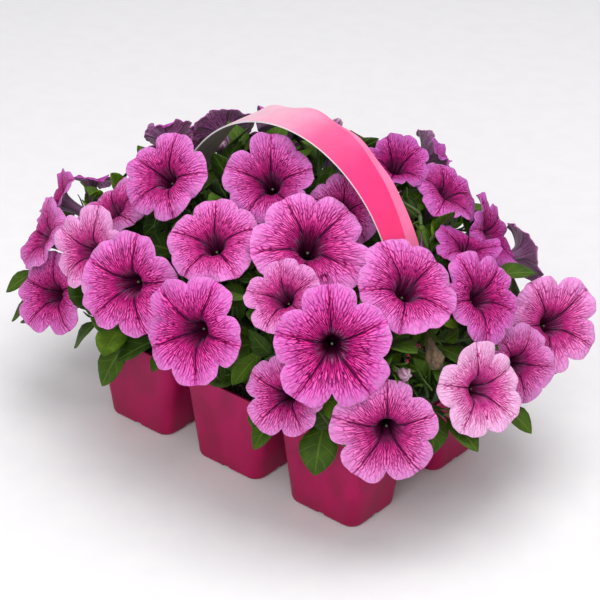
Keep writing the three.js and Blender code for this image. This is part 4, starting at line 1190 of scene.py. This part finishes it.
for foot, facing, cell in bloom_feet:
    add_tip(foot - facing * CALYX_DEPTH * MM, facing, reach=BLOOM_CALYX_REACH)
for number, (bearing, rise, out, tip_bearing, tip_rise, length, width) in enumerate(SHOOTS):
    add_tip(on_mound(bearing, rise, out), direction(tip_bearing, tip_rise),
            leaf=(length * MM, width * MM), is_late=number >= FIRST_LATE_SHOOT)
for bearing, rise, out, face_bearing, face_rise, length, width, dryness in BUDS:
    size = Vector((width, width, length)) * MM
    add_tip(on_mound(bearing, rise, out), direction(face_bearing, face_rise), reach=size.z / MM,
            bud=size, dryness=dryness, axes=bloom_axes(face_bearing, face_rise), is_late=True)
for tip in tips:
    if "reach" in tip:
        steps = np.linspace(CALYX_START, tip["reach"], 5)
        cup_line = np.array([tip["end"] + tip["facing"] * s * MM for s in steps])
        tip["calyx"], cup_points = tube_tree(cup_line, CALYX_RADIUS)
        fill_room(tip["calyx"], cup_points, tip["cell"])


def stem_line(root, way, tip, bend):
    """The way that a stem takes from its root to its tip; each bend sends it another way round."""
    whole = tip["end"] - root
    reach = STEM_REACH * whole.length
    lean = Vector([bend * (draw(tip["seed"], bend, index) - 0.5) for index in (12, 13, 15)])
    away = (whole.normalized() + way * ROOT_PULL + lean * STEM_LEAN).normalized()
    last = tip["end"] - tip["facing"] * reach * (TIP_REACH[0] + TIP_REACH[1] * draw(tip["seed"], bend, 14))
    return bezier([root, root + away * reach, last, tip["end"]])


def spread_out(ends, start):
    """The tips in an order in which each next one is the farthest from those before it."""
    rest = list(ends)
    order = []
    while rest:
        placed = [start] + [other["end"] for other in order]
        farthest = max(rest, key=lambda tip: min((tip["end"] - p).length for p in placed))
        rest.remove(farthest)
        order.append(farthest)
    return order


for cell, centre in enumerate(cell_centres):
    top = centre + Vector((0, 0, CROWN_TOP - CROWN_SINK))
    own_tips = [tip for tip in tips if tip["cell"] == cell]
    order = spread_out([tip for tip in own_tips if not tip.get("is_late")], top)
    order += [tip for tip in own_tips if tip.get("is_late")]
    mains = []
    for rank, tip in enumerate(order):
        outward = (((tip["end"] - top) * Vector((1, 1, 0))).normalized() * MAIN_SPREAD + UP).normalized()
        roots = [(top, outward, None)]
        if rank >= MAIN_STEMS:
            nodes = [node for main in mains for node in main["nodes"]]
            far = [node for node in nodes if (node[0] - tip["end"]).length > BRANCH_LEAST]
            roots = sorted(far, key=lambda node: (node[0] - tip["end"]).length) + roots
        radius = STEM_RADIUS if rank < MAIN_STEMS else SIDE_STEM_RADIUS
        for attempt in range(STEM_TRIES):
            root, way, parent = roots[attempt % len(roots)]
            line, length = stem_line(root, way, tip, attempt // len(roots))
            tree, points = tube_tree(line, radius)
            raised = line[line[:, 2] > CROWN_TOP + CROWN_CLEAR]
            upper = tube_tree(raised, radius)[0] if len(raised) > 2 else None
            if is_blocked(tree, points, [parent, tip.get("calyx")], cell, upper):
                continue
            steps = max(2, round(length / STEM_STEP))
            places = [round(CURVE_STEPS * (k + 1) / steps) for k in range(steps - 1)]
            ahead = np.gradient(line, axis=0)
            tip["nodes"] = [(Vector(line[i]), Vector(ahead[i]).normalized(), tree) for i in places]
            tip["line"] = line
            tip["radius"] = radius
            fill_room(tree, points, cell)
            tip["tree"] = tree
            if rank < MAIN_STEMS:
                mains.append(tip)
            break

stems = [tip for tip in tips if "line" in tip]


# Leafy twigs fill the mound between the stems. Each springs from the nearest stem and ends in a
# tuft of leaves that looks out through a gap between the blooms.
TWIG_PLACES = 1000
TWIG_REACH = (9 * MM, 46 * MM)
TWIG_RADIUS = 0.8 * MM
TWIG_OUT = (0.34, 0.97)
GOLDEN_ANGLE = 137.50776
TWIG_SEED = 200
TWIG_BEST = 16 * MM
TWIG_SPAN = 1.08
TWIG_BEND = 0.35
TWIG_OUTWARD = 0.8
TWIG_LIFT = Vector((0, 0, 0.03))
TWIG_CHANCE = 11
TWIG_LEAST_RISE = 4 * MM
FACE_CLEAR = 70 * MM
FACE_SHARE = 0.92
FACE_SPREAD = 0.12
TUBE_CLEAR = 2.6 * MM
MOUND_MOST = 1.03
STRIP_CLEAR = 24 * MM
STRIP_MARGIN = 6 * MM
STRIP_ALONG = 22 * MM
STRIP_SEEN_FROM = 118 * MM
OVERHANG_MOST = 6 * MM
OVERHANG_FROM = 64 * MM

strip_seen = [station for station in strip[::4] if station[0].z > STRIP_SEEN_FROM]
strip_middles = np.array([station[0] for station in strip_seen])
strip_ways = np.array([station[2] for station in strip_seen])
bloom_middles = np.array([on_mound(*row[1:4]) for row in BLOOMS])
bloom_facings = np.array([direction(row[4], row[5]) for row in BLOOMS])
bloom_halves = np.array([row[7] / 2 * MM for row in BLOOMS])[:, None]


def hides_bloom(points):
    """Whether points stand before an open bloom's face, in its tube, or out beyond the mound."""
    apart = np.asarray(points)[None] - bloom_middles[:, None]
    before = (apart * bloom_facings[:, None]).sum(axis=2)
    aside = np.linalg.norm(apart - before[:, :, None] * bloom_facings[:, None], axis=2)
    tube = -(TUBE_LENGTH - 2) * bloom_halves / BLOOM_REFERENCE
    in_view = (before > 1 * MM) & (before < FACE_CLEAR)
    in_view &= aside < FACE_SHARE * bloom_halves + FACE_SPREAD * before
    in_tube = (before > tube) & (before <= 1 * MM) & (aside < TUBE_CLEAR)
    outward = (np.asarray(points) - np.array(pack_middle) - (0, 0, MOUND_BASE)) / np.array(MOUND)
    is_astray = (np.linalg.norm(outward, axis=1) > MOUND_MOST).any()
    from_strip = np.asarray(points)[None] - strip_middles[:, None]
    above = (from_strip * strip_ways[:, None]).sum(axis=2)
    beside = np.abs(from_strip[:, :, 1]) - STRIP_HALF["crown"]
    along_strip = np.linalg.norm(from_strip - above[:, :, None] * strip_ways[:, None], axis=2)
    over_strip = (above > -2 * MM) & (above < STRIP_CLEAR)
    over_strip &= (beside < STRIP_MARGIN) & (along_strip < STRIP_ALONG)
    return bool((in_view | in_tube).any() or over_strip.any() or is_astray)


stem_points = [(Vector(p), Vector(q - p).normalized(), stem)
               for stem in stems for p, q in zip(stem["line"][3:-2], stem["line"][4:-1])]
chance = random.Random(TWIG_CHANCE)
twigs = []
for number in range(TWIG_PLACES):
    rise = math.degrees(math.asin(1 - TWIG_SPAN * (number + 0.5) / TWIG_PLACES))
    end = on_mound(number * GOLDEN_ANGLE % 360 - 180, rise, chance.uniform(*TWIG_OUT))
    away = [(end - p).length for p, q, stem in stem_points]
    index = min(range(len(away)), key=lambda i: abs(away[i] - TWIG_BEST))
    root, way, stem = stem_points[index]
    overhang = max(abs(c) - h for c, h in zip((end - pack_middle).xy, deck_half))
    is_low = end.z < PACK_HEIGHT + TWIG_LEAST_RISE or (overhang > OVERHANG_MOST and end.z < OVERHANG_FROM)
    if not TWIG_REACH[0] < away[index] < TWIG_REACH[1] or is_low:
        continue
    outward = ((end - pack_middle - Vector((0, 0, MOUND_BASE))) * TWIG_OUTWARD + TWIG_LIFT).normalized()
    reach = TWIG_BEND * away[index]
    line, length = bezier([root, root + (way + outward).normalized() * reach, end - outward * reach, end])
    tree, points = tube_tree(line, TWIG_RADIUS)
    if not hides_bloom(line) and not is_blocked(tree, points, joined=[stem["tree"]]):
        fill_room(tree, points, stem["cell"])
        twigs.append({"line": line, "radius": TWIG_RADIUS, "cell": stem["cell"], "facing": outward,
                      "tree": tree, "seed": TWIG_SEED + number})

# Green stems are translucent and matt with hairs, paler than the leaves and reddish at a joint.
green_stem, add = new_material("hairy_green_stem")
place = add("TexCoord", out="Object")
stem_noise = add("TexNoise", place, 90.0, 3.0)
stem_tint = add("ValToRGB", stem_noise, stops={0.3: "#2E4614", 0.55: "#42601E", 0.8: "#5A4E2A"})
stem_hair = add("Bump", 0.4, 0.3 * MM, Height=add("TexNoise", place, 2200.0))
shader = add("BsdfPrincipled", Base_Color=stem_tint, Normal=stem_hair, Roughness=0.6, Sheen_Weight=0.12)
add("OutputMaterial", shader)

rods_tree, add, given = tree_of("stem_rods", Sides="Int", Material="Material")
rod_lines = add("MeshToCurve", given["Geometry"])
section = add("CurvePrimitiveCircle", given["Sides"], 1.0)
own_radius = add("InputNamedAttribute", "stem_radius", data_type="FLOAT")
rods = add("CurveToMesh", rod_lines, section, own_radius, True)
add("NodeGroupOutput", add("SetMaterial", rods, Material=given["Material"]))

for cell, cell_name in enumerate(CELL_NAMES):
    rod_points = []
    rod_edges = []
    rod_radii = []
    crown = [cell_centres[cell] + Vector((0, 0, z * MM)) for z in CROWN_LEVELS]
    crown_rod = {"line": np.array(crown), "radius": CROWN_RADIUS}
    for rod in [crown_rod] + [r for r in stems + twigs if r["cell"] == cell]:
        line = rod["line"]
        start = len(rod_points)
        rod_points += [tuple(p) for p in line]
        rod_edges += [(start + i, start + i + 1) for i in range(len(line) - 1)]
        thick, taper = STEM_TAPER
        rod_radii += [rod["radius"] * (thick - taper * i / (len(line) - 1)) for i in range(len(line))]
    stems_piece = mesh_object(f"stems_{cell_name}", rod_points, [], edges=rod_edges)
    set_points(stems_piece, "stem_radius", "FLOAT", rod_radii)
    grow(stems_piece, rods_tree, Sides=STEM_SIDES, Material=green_stem)
    stems_piece.data.shade_smooth()
    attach(stems_piece, "root")
    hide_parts(f"plant_{cell_name}")


# Buds are still furled into a spindle of five pleats with a half turn in it, and spent blooms fold
# back into the same shape and dry brown. Each sits in its own calyx.
BUD_PROFILE = [(0.0, 0.3), (0.15, 0.38), (0.4, 0.5), (0.62, 0.8), (0.78, 1.0), (0.9, 0.82), (0.97, 0.45),
               (1.0, 0.12)]
BUD_STEPS = 25
BUD_PLEAT = 0.2
BUD_TWIST = 2.4
BUD_CALYX_SIZE = 0.8
BUD_CALYX_TONE = 0.3

# Furled petal is the outside of the corolla: purple, dark at the pleats and pale at the tip, and
# papery brown where it has dried.
furled_petal, add = new_material("furled_petal")
place = add("TexCoord", out="Object")
bud_map = add("UVMap", uv_map="bud_uv")
bud_ground = add("ValToRGB", add("SeparateXYZ", bud_map, out="Y"), stops={
    0.0: "#7F8A4A", 0.25: "#7A3A6C", 0.7: "#8C3B80", 0.92: "#C489B8", 1.0: "#E2C6DC",
})
pleat = add("MapRange", add("SeparateXYZ", bud_map), 0.0, 1.0, 0.75, 0.0)
pleated = add("Mix", pleat, bud_ground, "#4A1A40", data_type="RGBA")
papery = add("TexNoise", place, 500.0, 3.0)
dried = add("ValToRGB", papery, stops={0.3: "#4B3526", 0.7: "#8B7355"})
aged = add("Mix", add("Attribute", out="Fac", attribute_name="tone"), pleated, dried, data_type="RGBA")
crumpled = add("Bump", 0.5, 0.6 * MM, Height=papery)
shader = add("BsdfPrincipled", Base_Color=aged, Normal=crumpled, Roughness=0.65, Sheen_Weight=0.2)
add("OutputMaterial", shader)

bud_angles = even_angles(BUD_STEPS)
ridge = np.cos(LOBES * bud_angles)
bud_rings = []
bud_flat = []
for t, r in BUD_PROFILE:
    radius = 0.5 * r * (1 + BUD_PLEAT * ridge * min(1, 3 * t))
    bud_rings.append(circle_ring(radius, bud_angles + BUD_TWIST * t, t))
    bud_flat += [((1 + ridge_here) / 2, t) for ridge_here in ridge]
bud_form = stacked_block("bud_form", bud_rings, Vector())
lay_map(bud_form, "bud_uv", bud_flat)
bud_forms = collection_of("bud_forms", [bud_form])
bud_rows = [(tip["end"] + tip["facing"] * CALYX_DEPTH * MM, tip["axes"], tip["bud"], 0, tip["dryness"])
            for tip in stems if "bud" in tip]
buds = placed_copies("buds_and_spent_blooms", bud_rows, bud_forms, furled_petal)
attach(buds, "root")
bud_calyx_rows = [(row[0], row[1], [BUD_CALYX_SIZE] * 3, 0, BUD_CALYX_TONE) for row in bud_rows]
bud_calyxes = placed_copies("bud_calyxes", bud_calyx_rows, calyx_forms, hairy_leaf)
thicken(bud_calyxes, SEPAL_THICKNESS)
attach(bud_calyxes, "root")


# The leaves are thin ovals on short stalks, folded a little along the midrib and arched back.
# They stand all round each stem, large below and small near the flowers, wherever there is room.
LEAF_THICKNESS = 0.35 * MM
LEAF_COLUMNS = [-1, -0.5, 0, 0.5, 1]
LEAF_FORMS = [
    {"arch": 0.16, "fold": 0.2, "wave": 0.02, "broad_at": 0.5},
    {"arch": 0.3, "fold": 0.28, "wave": 0.035, "broad_at": 0.42},
    {"arch": 0.05, "fold": 0.34, "wave": 0.03, "broad_at": 0.58},
]
LEAF_ROWS = 11
LEAF_GAP = 9 * MM
LEAF_TRIES = 8
LEAF_TURN = 61
LEAF_CHANCE = 5
LEAF_SPAN = (0.02, 0.94)
LEAF_OUT = 0.85
LEAF_ALONG = (0.35, 0.3)
LEAF_UP = 0.15
LEAF_FULLNESS = 0.8
STALK_WIDTH = 0.05
LEAF_STALK = 0.08
LEAF_SHRINK = 0.09
# A leaf's length in mm: the least, on a stem what it gains towards the foot, and what chance adds.
STEM_LEAF = (18, 18, 6)
TWIG_LEAF = (21, 13)
LEAF_WIDTHS = (0.5, 0.16)
LEAF_TONES = (0.62, 1.6)
SHOOT_LEAF_TRIES = 16
SHOOT_LEAF_SWING = 0.12
SHOOT_LEAF_ROLL = 0.16
SHOOT_LEAF_SHRINK = 0.03
SHOOT_LEAF_TONE = 0.3


def leaf_form(arch, fold, wave, broad_at):
    """A leaf one unit long and one wide, growing along X with its face up."""
    points = []
    flat = []
    for i in range(LEAF_ROWS):
        t = (1 - math.cos(math.pi * i / (LEAF_ROWS - 1))) / 2
        blade = max(0, (t - LEAF_STALK) / (1 - LEAF_STALK))
        peak = math.log(0.5) / math.log(broad_at)
        share_width = max(0, math.sin(math.pi * blade**peak)) ** LEAF_FULLNESS
        for across in LEAF_COLUMNS:
            y = 0.5 * across * max(share_width, STALK_WIDTH if t < 0.5 else 0.0)
            ripple = wave * math.sin(9 * t + 3 * across) * abs(across)
            points.append((t, y, arch * (t - 1.5 * t * t) + fold * abs(y) * 0.5 + ripple))
            flat.append((across, t))
    n = len(LEAF_COLUMNS)
    faces = [(i * n + j, (i + 1) * n + j, (i + 1) * n + j + 1, i * n + j + 1)
             for i in range(LEAF_ROWS - 1) for j in range(n - 1)]
    return np.array(points), faces, flat


leaf_shapes = [leaf_form(**form) for form in LEAF_FORMS]
leaf_objects = []
for number, (points, faces, flat) in enumerate(leaf_shapes):
    form = mesh_object(f"leaf_form_{number}", points, faces)
    lay_map(form, "leaf_uv", flat)
    leaf_objects.append(form)
leaf_forms = collection_of("leaf_forms", leaf_objects)
leaves = []


def grow_leaf(rod, base, along, normal, length, width, form, tone, is_free=False):
    """Adds a leaf to a stem where it meets nothing, and says whether it did."""
    side = normal.cross(along).normalized()
    axes = Matrix((along, side, along.cross(side))).transposed()
    size = (length, width, length)
    points = (leaf_shapes[form][0] * size) @ np.array(axes).T + np.array(base)
    tree = BVHTree.FromPolygons(points.tolist(), leaf_shapes[form][1])
    beyond = np.abs(points[:, :2] - pack_middle.xy) - deck_half > OVERHANG_MOST
    if not is_free and ((beyond.any(axis=1) & (points[:, 2] < OVERHANG_FROM)).any() or hides_bloom(points)):
        return False
    if is_blocked(tree, points, joined=[rod["tree"]]):
        return False
    fill_room(tree, points)
    leaves.append((base, axes, size, form, tone, rod["cell"]))
    return True


for tip in tips:
    if "leaf" not in tip or "line" not in tip:
        continue
    facing = tip["facing"]
    side = facing.cross(UP)
    normal = side.cross(facing).normalized()
    for attempt in range(SHOOT_LEAF_TRIES):
        swing = SHOOT_LEAF_SWING * attempt * (draw(tip["seed"], attempt, 40) - 0.5)
        lift = SHOOT_LEAF_SWING * attempt * (draw(tip["seed"], attempt, 41) - 0.5)
        along = (facing + side * swing + normal * lift).normalized()
        roll = SHOOT_LEAF_ROLL * attempt * (1 if attempt % 2 else -1)
        turned = Matrix.Rotation(roll, 3, facing) @ normal
        size = 1 - SHOOT_LEAF_SHRINK * attempt
        length, width = (size * part for part in tip["leaf"])
        if grow_leaf(tip, tip["end"], along, turned, length, width, 0, SHOOT_LEAF_TONE, is_free=True):
            break

chance = random.Random(LEAF_CHANCE)
for rod in stems + twigs:
    line = rod["line"]
    length = float(np.linalg.norm(np.diff(line, axis=0), axis=1).sum())
    is_twig = rod["seed"] >= TWIG_SEED
    count = max(2, int(length / LEAF_GAP))
    spin = 360 * draw(rod["seed"], 1, 60)
    for k in range(count):
        share = 1 - LEAF_SPAN[0] - (k / count) * LEAF_SPAN[1]
        at = share * (len(line) - 1)
        i = min(int(at), len(line) - 2)
        base = Vector(line[i] + (line[i + 1] - line[i]) * (at - i))
        way = Vector(line[i + 1] - line[i]).normalized()
        if base.z < PACK_HEIGHT + 1 * MM:
            continue
        across = way.cross(UP if abs(way.z) < 0.9 else Vector((1, 0, 0))).normalized()
        if is_twig:
            long = TWIG_LEAF[0] + TWIG_LEAF[1] * chance.random()
        else:
            long = STEM_LEAF[0] + STEM_LEAF[1] * (1 - share) + STEM_LEAF[2] * chance.random()
        for attempt in range(LEAF_TRIES):
            turn = math.radians(spin + k * GOLDEN_ANGLE + attempt * LEAF_TURN)
            radial = Matrix.Rotation(turn, 3, way) @ across
            onward = LEAF_ALONG[0] + LEAF_ALONG[1] * chance.random()
            along = (radial * LEAF_OUT + way * onward + UP * LEAF_UP).normalized()
            normal = way - along * way.dot(along)
            size = (1 - LEAF_SHRINK * attempt) * long * MM
            form = int(3 * draw(rod["seed"], k, 61))
            wide = size * (LEAF_WIDTHS[0] + LEAF_WIDTHS[1] * draw(rod["seed"], k, 62))
            tone = LEAF_TONES[0] * draw(rod["seed"], k, 63) ** LEAF_TONES[1]
            if grow_leaf(rod, base, along, normal.normalized(), size, wide, form, tone):
                break

for cell, cell_name in enumerate(CELL_NAMES):
    rows = [leaf[:5] for leaf in leaves if leaf[5] == cell]
    foliage = placed_copies(f"foliage_{cell_name}", rows, leaf_forms, hairy_leaf)
    thicken(foliage, LEAF_THICKNESS)
    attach(foliage, "root")
    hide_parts(f"plant_{cell_name}")

for group in (pistil_forms, calyx_forms, bud_forms, leaf_forms):
    for form in list(group.objects):
        bpy.data.objects.remove(form)
    bpy.data.collections.remove(group)
